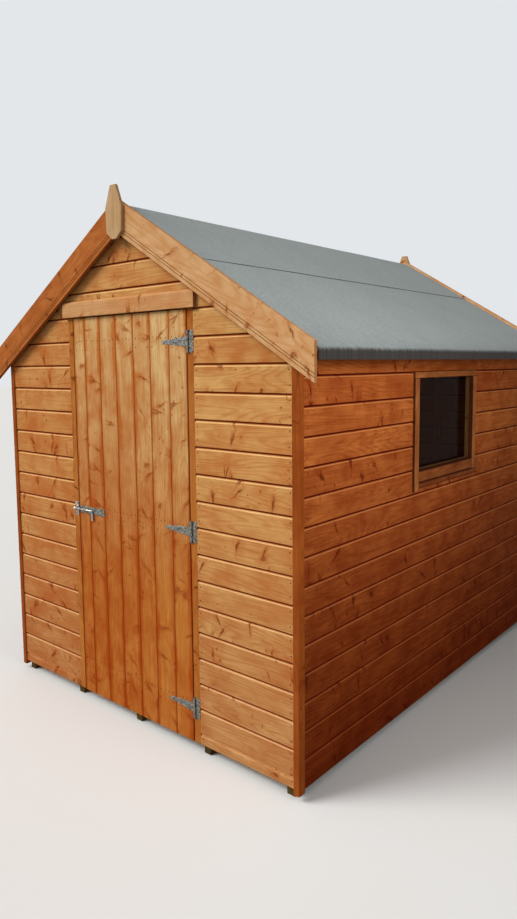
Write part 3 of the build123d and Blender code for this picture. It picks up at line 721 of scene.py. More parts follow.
class Wood(Enum):
    """The shed's timbers, each with its own depth of stain; the window's rail and sill and the studs beside
    it are darker as painted shade.
    """

    # The dark band under each overlap is partly painted shade, the crest colour is a painted highlight, and
    # the foot makes the boards a little darker towards the ground
    FRONT = Softwood(
        "honey_stained_shiplap", "#D5A868", "#AA6D35", "#AF612C", "#6C2E0E", "#742A0C",
        joint_width=9 * MM, joint_strength=1.0, lapped=True, crest="#E4BE84", crest_from=9 * MM,
        knotty=0.6, foot="#EEE4EC", foot_height=1.4,
    )
    # The dark band under each overlap is partly painted shade, the crest colour is a painted highlight, and
    # the foot is painted shade, darker towards the ground
    SIDE = Softwood(
        "chestnut_stained_shiplap", "#DA7F3E", "#9C4C1C", "#983F16", "#4C1606", "#560F06",
        joint_width=9 * MM, joint_strength=1.0, lapped=True, crest="#EAA060", crest_from=9 * MM,
        patchy=1.1, streaky=1.2, foot="#A67E6C", foot_height=1.7,
    )
    DOOR = Softwood(
        "amber_stained_matchboard", "#DFC58D", "#BD945C", "#B66C30", "#85401A", "#7C360E",
        joint_width=4 * MM, joint_strength=0.5, bleed=26 * MM, foot="#DAA06C", foot_full=0.55,
        foot_height=2.1, knotty=0.75, streaky=1.4,
    )
    TRIM = Softwood(
        "amber_stained_batten", "#BE7D3A", "#95511D", "#994D1B", "#5A2409", "#6A2C0A",
        joint_width=1 * MM, joint_strength=0.3,
    )
    STRIP = Softwood(
        "chestnut_stained_batten", "#C06B2E", "#8D4415", "#904014", "#4A1B08", "#4E1E08",
        joint_width=1 * MM, joint_strength=0.3,
    )
    SASH = Softwood(
        "walnut_stained_batten", "#C47A42", "#8C502A", "#76330F", "#3A1507", "#38120A",
        joint_width=5 * MM, joint_strength=0.8, board_half=28 * MM, knotty=0.2,
    )
    BARGE = Softwood(
        "honey_stained_barge", "#D6AC80", "#B6844C", "#B46E36", "#7C4019", "#8A4C20",
        joint_width=2 * MM, joint_strength=0.4, knotty=0.65, patchy=0.8,
    )
    DEEP_BARGE = Softwood(
        "chestnut_stained_barge", "#BC733B", "#98501F", "#904616", "#4E200A", "#6A3410",
        joint_width=2 * MM, joint_strength=0.4, knotty=0.6, patchy=0.8,
    )
    FINIAL = Softwood(
        "hardly_stained_softwood", "#C6A67F", "#A67E55", "#AA8052", "#7A4A25", "#8A6238",
        joint_width=1 * MM, joint_strength=0.3, knotty=0.1, patchy=0.8,
    )
    # The window's bottom rail and sill, stained darker as painted shade under the window
    RAIL = Softwood(
        "shade_darkened_batten", "#A4602F", "#73371A", "#6A2C10", "#34140A", "#2E0C06",
        joint_width=9 * MM, joint_strength=0.9, board_half=28 * MM, knotty=0.2,
    )
    SAWN = Softwood(
        "sawn_spruce", "#D9BC8C", "#B48F5E", "#BD9260", "#6B4526", "#7A5C3A",
        joint_width=2 * MM, joint_strength=0.5, roughness=0.8, patchy=0.5,
    )
    # Sawn spruce made darker: painted shade for the framing seen in the window's reveal
    SHADED_STUD = Softwood(
        "shade_darkened_spruce", "#9A7850", "#7C5A36", "#7E5630", "#4A2C14", "#5A3C20",
        joint_width=2 * MM, joint_strength=0.5, roughness=0.8, patchy=0.8,
    )
    BEARER = Softwood(
        "pressure_treated_bearer", "#7C6A44", "#544629", "#5E4A2A", "#33230F", "#33260F",
        joint_width=2 * MM, joint_strength=0.5, roughness=0.8,
    )
    GROOVE = Softwood(
        "stain_in_grooves", "#B98A58", "#9E6C3C", "#9E6834", "#6A3010", "#8A5024",
        joint_width=1 * MM, joint_strength=0.3, knotty=0.0,
    )


class Slot(Enum):
    """The record's material slots that the built pieces have."""

    CLADDING = "stained_cladding"
    BARGE = "bargeboard_timber"
    PALE = "pale_timber"
    FRAMING = "sawn_framing"
    STEEL = "galvanised_steel"
    FELT = "mineral_felt"


class Side(Enum):
    """The four walls, each with the way along its boards, the way that it looks and its timber."""

    FRONT = (X, -Y, Wood.FRONT)
    BACK = (-X, Y, Wood.FRONT)
    LEFT = (-Y, -X, Wood.SIDE)
    RIGHT = (Y, X, Wood.SIDE)


def placing(along: Vector, across: Vector, outward: Vector, origin: Vector) -> Matrix:
    """Makes the matrix that lays a board drawn along X, with its face up Z, in its place.

    Args:
        along: Where the board's X goes.
        across: Where its Y goes.
        outward: Where its Z goes.
        origin: Where its corner goes.

    Returns:
        The board's place.
    """
    turn = Matrix((along, across, outward)).transposed()
    return Matrix.Translation(origin) @ turn.to_4x4()


def put(name: str, data: bpy.types.ID) -> bpy.types.Object:
    """Makes an object at the origin and adds it to the scene.

    Args:
        name: Its name.
        data: Its mesh, light or camera.

    Returns:
        The object.
    """
    made = bpy.data.objects.new(name, data)
    bpy.context.scene.collection.objects.link(made)
    return made


class Piece:
    """One named piece of the shed, gathered part by part into one mesh."""

    def __init__(self, name: str, body: str, slot: Slot, *finishes: Finish) -> None:
        """Starts an empty piece.

        Args:
            name: The piece's name.
            body: The moving body that carries it.
            slot: The record's material slot, which the piece stores but does not use.
            finishes: Its materials, the first being the usual one.
        """
        self.name = name
        self.body = body
        self.slot = slot.value
        self.finishes = finishes
        self.dice = random.Random(name)
        self.mesh = bmesh.new()
        self.mesh.verts.layers.float_vector.new(GRAIN)
        self.mesh.verts.layers.float_vector.new(LOOK)

    def take(self, part: Mesh) -> None:
        """Adds a finished part to the piece and frees it.

        Args:
            part: A closed mesh in the shed's own frame.
        """
        bmesh.ops.recalc_face_normals(part, faces=part.faces)
        shell = bpy.data.meshes.new("part")
        part.to_mesh(shell)
        part.free()
        self.mesh.from_mesh(shell)
        bpy.data.meshes.remove(shell)

    def done(self, *stands_for: str) -> None:
        """Makes the piece's object, which rides on its body.

        Args:
            stands_for: The nodes of the frame that the piece replaces.
        """
        shell = bpy.data.meshes.new(self.name)
        self.mesh.to_mesh(shell)
        self.mesh.free()
        for finish in self.finishes:
            shell.materials.append(finish.material())
        made = put(self.name, shell)
        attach(made, self.body)
        if stands_for:
            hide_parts(*stands_for)
        LOG.info("%s: %d faces on %s", self.name, len(shell.polygons), self.body)


def mark(part: Mesh, width: float, dice: random.Random, tones: Range = (0.0, 1.0)) -> None:
    """Writes on a board drawn along X where each of its points lies in its log.

    Args:
        part: The board, its lower edge along X and its width along Y.
        width: Its width.
        dice: What picks its place in the log and its tone.
        tones: The least and the most ruddy that it may be.
    """
    layers = part.verts.layers.float_vector
    grain, look = layers.new(GRAIN), layers.new(LOOK)
    shift = Vector(dice.uniform(0, LOG_REACH) for _ in range(3))
    tone = dice.uniform(*tones)
    ends = set()
    for face in part.faces:
        face.normal_update()
        if abs(face.normal.x) > END_FACING and face.calc_area() > face.calc_perimeter() * SLIVER:
            ends.update(face.verts)
    for vertex in part.verts:
        vertex[grain] = vertex.co + shift
        vertex[look] = Vector((tone, 2 * vertex.co.y / width - 1, 0.0))
    if len(ends) < len(part.verts):
        for vertex in ends:
            vertex[look].z = 1.0


def plank(length: float, width: float, thickness: float) -> Mesh:
    """Draws a plain board along X, its lower edge on the axis and its face on the ground plane.

    Args:
        length: Its size along X.
        width: Its size along Y.
        thickness: Its size down Z.

    Returns:
        The board's mesh.
    """
    board = bmesh.new()
    size = Matrix.Diagonal((length, width, thickness, 1.0))
    middle = Matrix.Translation((length / 2, width / 2, -thickness / 2))
    bmesh.ops.create_cube(board, size=1.0, matrix=middle @ size)
    return board


def face_edges(board: Mesh, height: float | None = None) -> Edges:
    """Finds the edges along a board's face.

    Args:
        board: A board as plank() draws it.
        height: The Y of the edge, or None for both.

    Returns:
        The edges that run along X on the face.
    """
    found = []
    for edge in board.edges:
        first, second = (v.co for v in edge.verts)
        level = max(abs(first.z), abs(second.z), abs(first.y - second.y)) < TOUCH
        if level and (height is None or abs(first.y - height) < TOUCH):
            found.append(edge)
    return found


def sharp_edges(solid: Mesh, crease: float) -> Edges:
    """Finds the edges where a solid's faces meet at more than a given angle."""
    return [e for e in solid.edges if e.is_manifold and e.calc_face_angle() > crease]


def soften(part: Mesh, edges: Edges, arris: float, segments: int = 1) -> None:
    """Takes the sharpness off some edges.

    Args:
        part: The mesh.
        edges: Its edges that are softened.
        arris: How much is taken off.
        segments: How many faces the softened edge gets.
    """
    bmesh.ops.bevel(
        part,
        geom=edges,
        offset=arris,
        segments=segments,
        profile=0.5,
        affect="EDGES",
        clamp_overlap=True,
        material=-1,
    )


def cut(part: Mesh, point: Vector, away: Vector) -> bool:
    """Saws off what lies beyond a plane and closes the cut.

    Args:
        part: A closed mesh.
        point: A point of the plane.
        away: The side that falls off.

    Returns:
        Whether anything is left.
    """
    geometry = [*part.verts, *part.edges, *part.faces]
    bmesh.ops.bisect_plane(part, geom=geometry, plane_co=point, plane_no=away, dist=TOUCH, clear_outer=True)
    rim = [e for e in part.edges if e.is_boundary]
    if rim:
        bmesh.ops.holes_fill(part, edges=rim)
    return bool(part.faces)


def spread(start: float, end: float, inset: float, count: int) -> list[float]:
    """Spaces some places evenly between two ends.

    Args:
        start: The one end.
        end: The other end.
        inset: How far the outermost places stand from the ends.
        count: How many places there are.

    Returns:
        The places.
    """
    step = (end - start - 2 * inset) / (count - 1)
    return [start + inset + index * step for index in range(count)]


def solids_of(node: str) -> list[Mesh]:
    """Copies a node's mesh, merged, one mesh for each of its solids.

    Args:
        node: The node.

    Returns:
        A closed mesh for each solid, in the order of their lowest corners.
    """
    whole = bmesh.new()
    whole.from_mesh(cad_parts[node].data)
    bmesh.ops.remove_doubles(whole, verts=whole.verts, dist=MERGE)
    bmesh.ops.dissolve_limit(whole, angle_limit=FLAT, verts=whole.verts, edges=whole.edges)
    whole.verts.index_update()
    found = []
    unseen = {v.index for v in whole.verts}
    for first in whole.verts:
        if first.index not in unseen:
            continue
        reached = [first]
        island = {first.index}
        while reached:
            for edge in reached.pop().link_edges:
                for vertex in edge.verts:
                    if vertex.index not in island:
                        island.add(vertex.index)
                        reached.append(vertex)
        unseen -= island
        solid = whole.copy()
        bmesh.ops.delete(solid, geom=[v for v in solid.verts if v.index not in island], context="VERTS")
        found.append(solid)
    whole.free()
    return sorted(found, key=lambda s: [round(min(v.co[axis] for v in s.verts), 4) for axis in range(3)])


@dataclass(frozen=True)
class Nail:
    """A wire nail, of which only the head shows, nearly flush.

    Attributes:
        radius: The head's radius.
        taper: Its face's radius beside that.
        height: The head's thickness.
        sunk: How far its middle lies under the wood's face.
        sides: How many sides it is drawn with.
    """

    radius: float
    taper: float = 0.8
    height: float = 1.2 * MM
    sunk: float = 0.3 * MM
    sides: int = 8

    def drive(self, nails: Piece, spot: Vector, outward: Vector) -> None:
        """Drives the nail.

        Args:
            nails: The piece that it joins.
            spot: Its place on the wood's face.
            outward: The way that the face looks.
        """
        turn = outward.to_track_quat("Z", "Y").to_matrix().to_4x4()
        head = bmesh.new()
        bmesh.ops.create_cone(
            head,
            cap_ends=True,
            segments=self.sides,
            radius1=self.radius,
            radius2=self.radius * self.taper,
            depth=self.height,
            matrix=Matrix.Translation(spot - outward * self.sunk) @ turn,
        )
        mark(head, 1.0, nails.dice)
        nails.take(head)


@dataclass(frozen=True)
class Wall:
    """A stretch of wall that is boarded and nailed in one go.

    Attributes:
        name: The boards' name.
        node: The node that they stand for.
        side: The wall.
        origin: Where distances along the wall start.
        rows: The lower and the upper edge of each row.
        span: Where the boards start and end.
        studs: Where they are nailed.
        tones: The least and the most ruddy that a board may be.
    """

    name: str
    node: str
    side: Side
    origin: Vector
    rows: list[Range]
    span: Range
    studs: list[float]
    tones: Range = (0.0, 0.8)


@dataclass
class ShiplapWalls:
    """The four walls' boards, each with a cove along its upper edge, and their nails."""

    cover: float = 110.92 * MM
    thickness: float = 12 * MM
    cove_height: float = 14 * MM
    cove_depth: float = 6 * MM
    cove_steps: int = 4
    lower_arris: float = 1.2 * MM
    front_first_line: float = 91.9 * MM
    side_first_line: float = 157.7 * MM
    left_tones: Range = (0.8, 1.4)
    right_tones: Range = (0.0, 0.6)
    nail: Nail = Nail(3.1 * MM)
    nail_inset: float = 14 * MM
    nail_low: float = 27 * MM
    nail_high: float = 84 * MM
    nail_drift: float = 2.5 * MM
    gable_studs: tuple[float, ...] = (-660 * MM, -400 * MM, 400 * MM, 660 * MM)
    back_studs: int = 4
    side_studs: int = 6
    side_inset: float = 27 * MM

    def __post_init__(self) -> None:
        """Looks up the level at which the roof boards meet."""
        self.roof_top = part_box("front_gable")[1].z

    def build(self) -> None:
        """Boards and nails every wall."""
        low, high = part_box("front_wall_right")
        jamb, corner = low.x, high.x
        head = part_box("front_gable")[0].z
        origin = Vector((-corner, low.y, 0))
        rows = self._rows(low.z, self.front_first_line, self.roof_top)
        beside = [row for row in rows if row[0] < head - self.cover / 2]
        above = rows[len(beside):]
        for hand, span, tones in (
            ("left", (0.0, corner - jamb), self.left_tones),
            ("right", (corner + jamb, 2 * corner), self.right_tones),
        ):
            name, node = f"front_boards_{hand}", f"front_wall_{hand}"
            studs = spread(*span, self.nail_inset, 2)
            self._wall(Wall(name, node, Side.FRONT, origin, beside, span, studs, tones))
        studs = [corner + x for x in self.gable_studs]
        self._wall(Wall("gable_boards", "front_gable", Side.FRONT, origin, above, (0.0, 2 * corner), studs))

        low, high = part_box("back_wall")
        width = high.x - low.x
        origin = Vector((high.x, high.y, 0))
        rows = self._rows(low.z, self.front_first_line, self.roof_top)
        studs = spread(0.0, width, self.nail_inset, self.back_studs)
        self._wall(Wall("back_boards", "back_wall", Side.BACK, origin, rows, (0.0, width), studs))

        for hand, side in (("left", Side.LEFT), ("right", Side.RIGHT)):
            low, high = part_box(f"{hand}_wall")
            length = high.y - low.y
            origin = Vector((low.x, high.y, 0)) if side is Side.LEFT else Vector((high.x, low.y, 0))
            rows = self._rows(low.z, self.side_first_line, high.z)
            studs = spread(0.0, length, self.side_inset, self.side_studs)
            self._wall(Wall(f"{hand}_boards", f"{hand}_wall", side, origin, rows, (0.0, length), studs))

    def _rows(self, base: float, first: float, top: float) -> list[Range]:
        """Lays out the boards of a wall from the ground up.

        Args:
            base: The wall's lowest level.
            first: The lowest joint.
            top: The wall's highest level.

        Returns:
            The lower and the upper edge of each row.
        """
        lines = [base]
        while lines[-1] < top:
            lines.append(first + (len(lines) - 1) * self.cover)
        return list(zip(lines, lines[1:]))

    def _board(self, length: float, height: float) -> Mesh:
        """Machines one board: a cove at its upper edge and a soft arris at its lower one.

        The board is drawn with its thickness stretched, so that the cove is as deep as it is
        high and can be cut as a hollow bevel, and is then pressed to its real thickness.

        Args:
            length: Its length.
            height: Its height on the wall.

        Returns:
            The board as plank() lays it.
        """
        stretch = self.cove_height / self.cove_depth
        board = plank(length, height, self.thickness * stretch)
        # A profile of a half would give a round edge, and this one the hollow of a cove
        bmesh.ops.bevel(
            board,
            geom=face_edges(board, height),
            offset=self.cove_height,
            segments=self.cove_steps,
            profile=0.12,
            affect="EDGES",
            material=-1,
        )
        bmesh.ops.scale(board, vec=(1.0, 1.0, 1 / stretch), verts=board.verts)
        soften(board, face_edges(board, 0.0), self.lower_arris)
        return board

    def _holes(self) -> list[tuple[float, float, float, float]]:
        """Gives the window trim's outline in strips: from, to, bottom and top of each."""
        sill, trim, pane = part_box("window_sill"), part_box("window_frame"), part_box("window_glass")
        return [
            (trim[0].y, pane[0].y, trim[0].z, trim[1].z),
            (pane[0].y, trim[1].y, sill[0].z, trim[1].z),
            (trim[1].y, sill[1].y, sill[0].z, sill[1].z),
        ]

    def _openings(self, side: Side, low: float, high: float) -> list[list[SawCut]]:
        """Says how a row is sawn round the window.

        Args:
            side: The wall.
            low: The row's lower edge.
            high: Its upper edge.

        Returns:
            For each length of board, the saw cuts that shape it.
        """
        holes = self._holes()
        if side is not Side.RIGHT or not any(h[2] < high and low < h[3] - MM for h in holes):
            return [[]]
        lengths = [[(Y * holes[0][0], Y)], [(Y * holes[-1][1], -Y)]]
        for start, end, bottom, top in holes:
            between = [(Y * start, -Y), (Y * end, Y)]
            if low < bottom - MM:
                lengths.append([*between, (Z * bottom, Z)])
            if high > top + MM:
                lengths.append([*between, (Z * top, -Z)])
        return lengths

    def _wall(self, wall: Wall) -> None:
        """Boards one wall and nails it to its studs.

        Args:
            wall: The wall.
        """
        along, outward, wood = wall.side.value
        start, end = wall.span
        boards = Piece(wall.name, SHED, Slot.CLADDING, wood.value)
        nails = Piece(f"{wall.name}_nails", SHED, Slot.STEEL, WIRE_NAIL)
        for low, high in wall.rows:
            board = self._board(end - start, high - low)
            mark(board, high - low, boards.dice, wall.tones)
            place = placing(along, Z, outward, wall.origin + along * start + Z * low)
            bmesh.ops.transform(board, matrix=place, verts=board.verts)
            for saw_cuts in self._openings(wall.side, low, high):
                length = board.copy()
                if all(cut(length, point, away) for point, away in [*self._slopes(), *saw_cuts]):
                    boards.take(length)
                else:
                    length.free()
            board.free()
            for stud in wall.studs:
                for rise in (self.nail_low, self.nail_high):
                    spot = wall.origin + along * stud + Z * (low + rise)
                    if low + rise < high - self.cove_height and self._holds(wall.side, spot):
                        self._nail(nails, spot, outward)
        boards.done(wall.node)
        nails.done()

    def _slopes(self) -> list[SawCut]:
        """Gives the two planes under the roof boards, as saw cuts."""
        fall, rise = X * math.sin(ROOF_PITCH), Z * math.cos(ROOF_PITCH)
        return [(Z * self.roof_top, rise - fall), (Z * self.roof_top, rise + fall)]

    def _holds(self, side: Side, spot: Vector) -> bool:
        """Says whether a nail at that spot goes into a board.

        Args:
            side: The wall.
            spot: The nail's place.

        Returns:
            False above the roof boards and in the window.
        """
        if spot.z > self.roof_top - abs(spot.x) * math.tan(ROOF_PITCH) - self.nail_inset:
            return False
        margin = self.nail_inset / 2
        return side is not Side.RIGHT or not any(
            start - margin < spot.y < end + margin and bottom - margin < spot.z < top + margin
            for start, end, bottom, top in self._holes()
        )

    def _nail(self, nails: Piece, spot: Vector, outward: Vector) -> None:
        """Drives one nail, a little off its mark.

        Args:
            nails: The piece that it joins.
            spot: Its mark on the wall.
            outward: The way that the wall looks.
        """
        drift = Vector(nails.dice.uniform(-1, 1) * self.nail_drift for _ in range(3))
        self.nail.drive(nails, spot + drift - outward * drift.dot(outward), outward)


@dataclass
class BoardedDoor:
    """The door's seven boards, with V joints, and the nails through them into the ledges."""

    joints: tuple[float, ...] = (-0.296, -0.184, -0.070, 0.049, 0.159, 0.277)
    thickness: float = 12 * MM
    chamfer: float = 3 * MM
    chamfer_depth: float = 1.6 * MM
    tones: Range = (0.0, 0.8)
    nail: Nail = Nail(3.0 * MM)
    nail_rise: float = 20 * MM
    nail_inset: float = 18 * MM
    nail_drift: Range = (4 * MM, 3 * MM)
    nails_above: int = 4
    nails_below: int = 2

    def build(self) -> None:
        """Makes the boards and nails each to every ledge, in a row above its middle and one below."""
        low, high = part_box("door_leaf")
        edges = (low.x, *self.joints, high.x)
        leaf = Piece("door_boards", DOOR, Slot.CLADDING, Wood.DOOR.value)
        nails = Piece("door_nails", DOOR, Slot.STEEL, WIRE_NAIL)
        stretch = self.chamfer / self.chamfer_depth
        for start, end in zip(edges, edges[1:]):
            board = plank(high.z - low.z, end - start, self.thickness * stretch)
            soften(board, face_edges(board), self.chamfer)
            bmesh.ops.scale(board, vec=(1.0, 1.0, 1 / stretch), verts=board.verts)
            mark(board, end - start, leaf.dice, self.tones)
            place = placing(Z, -X, -Y, Vector((end, low.y, low.z)))
            bmesh.ops.transform(board, matrix=place, verts=board.verts)
            leaf.take(board)
            for ledge in self._ledges():
                for rise, count in ((self.nail_rise, self.nails_above), (-self.nail_rise, self.nails_below)):
                    for x in spread(start, end, self.nail_inset, count):
                        self._nail(nails, Vector((x, low.y, ledge + rise)))
        leaf.done("door_leaf")
        nails.done()

    def _ledges(self) -> list[float]:
        """Gives the middle heights of the ledges behind the door."""
        heights = sorted({round(v.co.z, 3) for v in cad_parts["door_ledges"].data.vertices})
        return [(a + b) / 2 for a, b in zip(heights[::2], heights[1::2])]

    def _nail(self, nails: Piece, spot: Vector) -> None:
        """Drives one nail into the door's face, a little off its mark.

        Args:
            nails: The piece that it joins.
            spot: Its mark.
        """
        aside, rise = (nails.dice.uniform(-reach, reach) for reach in self.nail_drift)
        self.nail.drive(nails, spot + Vector((aside, 0, rise)), -Y)


@dataclass
class Joinery:
    """The timbers that the frame already shapes: trim, framing and floor, with softened edges."""

    arris: float = 1.0 * MM
    trim_arris: float = 1.5 * MM
    crease: float = math.radians(25)
    board_cover: float = 112 * MM
    trim_tones: Range = (0.0, 0.5)
    left_tones: Range = (0.3, 0.6)
    right_tones: Range = (0.1, 0.4)
    groove_depth: float = 0.5 * MM

    def build(self) -> None:
        """Dresses every solid timber."""
        for node, wood in (
            ("corner_strips", Wood.STRIP),
            ("door_jambs", Wood.TRIM),
            ("drip_board", Wood.BARGE),
            # The sill takes the rail's finish, darker as painted shade
            ("window_sill", Wood.RAIL),
        ):
            self._timber(node, wood, Slot.CLADDING)
        self._window_trim()
        for place in ("front", "back"):
            self._timber(f"{place}_barge_left", Wood.DEEP_BARGE, Slot.BARGE, self.left_tones)
            self._timber(f"{place}_barge_right", Wood.BARGE, Slot.BARGE, self.right_tones)
            self._timber(f"{place}_finial", Wood.FINIAL, Slot.PALE)
        for wood, body, nodes in (
            (Wood.STRIP, SHED, ("eaves_battens",)),
            (Wood.BEARER, SHED, ("floor_bearers",)),
            (Wood.SAWN, SHED, ("front_studs", "front_rails", "back_studs", "back_rails")),
            (Wood.SAWN, SHED, ("left_studs", "left_rails", "roof_purlins", "ridge_board")),
            # The right wall's framing, seen in the window's reveal, is darker as painted shade
            (Wood.SHADED_STUD, SHED, ("right_studs", "right_rails")),
            (Wood.SAWN, DOOR, ("door_ledges", "door_braces")),
        ):
            for node in nodes:
                self._timber(node, wood, body=body)
        self._boarded("floor_boards", Y, X)
        for node, hand in (("roof_left", -1), ("roof_right", 1)):
            downhill = Vector((hand * math.cos(ROOF_PITCH), 0, -math.sin(ROOF_PITCH)))
            self._boarded(node, downhill, Y)

    def _window_trim(self) -> None:
        """Frames the window with two posts, a header and a rail, butted together."""
        piece = Piece("window_trim", SHED, Slot.CLADDING, Wood.SASH.value, Wood.RAIL.value)
        low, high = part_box("window_frame")
        pane_low, pane_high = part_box("window_glass")
        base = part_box("window_sill")[1].z
        back, face = low.x, high.x
        # The rail is the last batten and takes the second finish, darker as painted shade
        for start, end, along, finish in (
            (Vector((back, low.y, low.z)), Vector((face, pane_low.y, pane_high.z)), Z, 0),
            (Vector((back, pane_high.y, base)), Vector((face, high.y, pane_high.z)), Z, 0),
            (Vector((back, low.y, pane_high.z)), Vector((face, high.y, high.z)), Y, 0),
            (Vector((back, pane_low.y, base)), Vector((face, pane_high.y, pane_low.z)), Y, 1),
        ):
            batten = bmesh.new()
            place = Matrix.Translation((start + end) / 2) @ Matrix.Diagonal((*(end - start), 1.0))
            bmesh.ops.create_cube(batten, size=1.0, matrix=place)
            for side in batten.faces:
                side.material_index = finish
            soften(batten, list(batten.edges), self.trim_arris)
            self._mark(batten, along, piece.dice, self.trim_tones)
            piece.take(batten)
        piece.done("window_frame")

    def _boarded(self, node: str, across: Vector, along: Vector) -> None:
        """Saws one node's slab into matched boards.

        Args:
            node: The node.
            across: The way from board to board.
            along: The way that the boards run.
        """
        piece = Piece(f"{node}_matched", SHED, Slot.FRAMING, Wood.SAWN.value)
        for slab in solids_of(node):
            reach = [v.co.dot(across) for v in slab.verts]
            first, last = min(reach), max(reach)
            count = round((last - first) / self.board_cover)
            step = (last - first) / count
            for index in range(count):
                board = slab.copy()
                low = first + index * step
                if cut(board, across * low, -across) and cut(board, across * (low + step), across):
                    soften(board, sharp_edges(board, self.crease), self.arris)
                    self._mark(board, along, piece.dice)
                    piece.take(board)
                else:
                    board.free()
            slab.free()
        piece.done(node)

    def _timber(
        self,
        node: str,
        wood: Wood,
        slot: Slot = Slot.FRAMING,
        tones: Range = (0.0, 1.0),
        body: str = SHED,
    ) -> None:
        """Dresses one node's solids as lengths of timber, each with its grain along it.

        Args:
            node: The node.
            wood: Its timber.
            slot: The record's material slot.
            tones: The least and the most ruddy that a length may be.
            body: The body that carries it.
        """
        grooved = slot is Slot.BARGE
        finishes = (wood, Wood.GROOVE) if grooved else (wood,)
        piece = Piece(f"{node}_timber", body, slot, *(finish.value for finish in finishes))
        for solid in solids_of(node):
            sharp = sharp_edges(solid, self.crease)
            longest = max(sharp, key=lambda e: e.calc_length())
            along = (longest.verts[1].co - longest.verts[0].co).normalized()
            if grooved:
                self._stain_grooves(solid)
                sharp = [e for e in sharp if not any(f.material_index for f in e.link_faces)]
            soften(solid, sharp, self.arris)
            self._mark(solid, along, piece.dice, tones)
            piece.take(solid)
        piece.done(node)

    def _stain_grooves(self, barge: Mesh) -> None:
        """Gives the faces inside a bargeboard's grooves the darker finish.

        Args:
            barge: The bargeboard, still with sharp edges.
        """
        outside = max(abs(v.co.y) for v in barge.verts)
        inside = min(abs(v.co.y) for v in barge.verts)
        for face in barge.faces:
            depths = [outside - abs(v.co.y) for v in face.verts]
            if self.groove_depth < max(depths) < (outside - inside) / 2:
                face.material_index = 1

    def _mark(self, solid: Mesh, along: Vector, dice: random.Random, tones: Range = (0.0, 1.0)) -> None:
        """Writes the grain on a timber that already lies in its place.

        Args:
            solid: The timber.
            along: The way that its grain runs.
            dice: What picks its place in the log.
            tones: The least and the most ruddy that it may be.
        """
        square = min((X, Y, Z), key=lambda a: abs(a.dot(along)))
        other = along.cross(square).normalized()
        spans = {}
        for index, axis in enumerate((square, other)):
            reach = [v.co.dot(axis) for v in solid.verts]
            spans[max(reach) - min(reach), index] = (axis, min(reach))
        (width, _), (across, start) = max(spans.items(), key=lambda item: item[0][0])
        place = placing(along, across, along.cross(across).normalized(), across * start)
        bmesh.ops.transform(solid, matrix=place.inverted(), verts=solid.verts)
        mark(solid, width, dice, tones)
        bmesh.ops.transform(solid, matrix=place, verts=solid.verts)


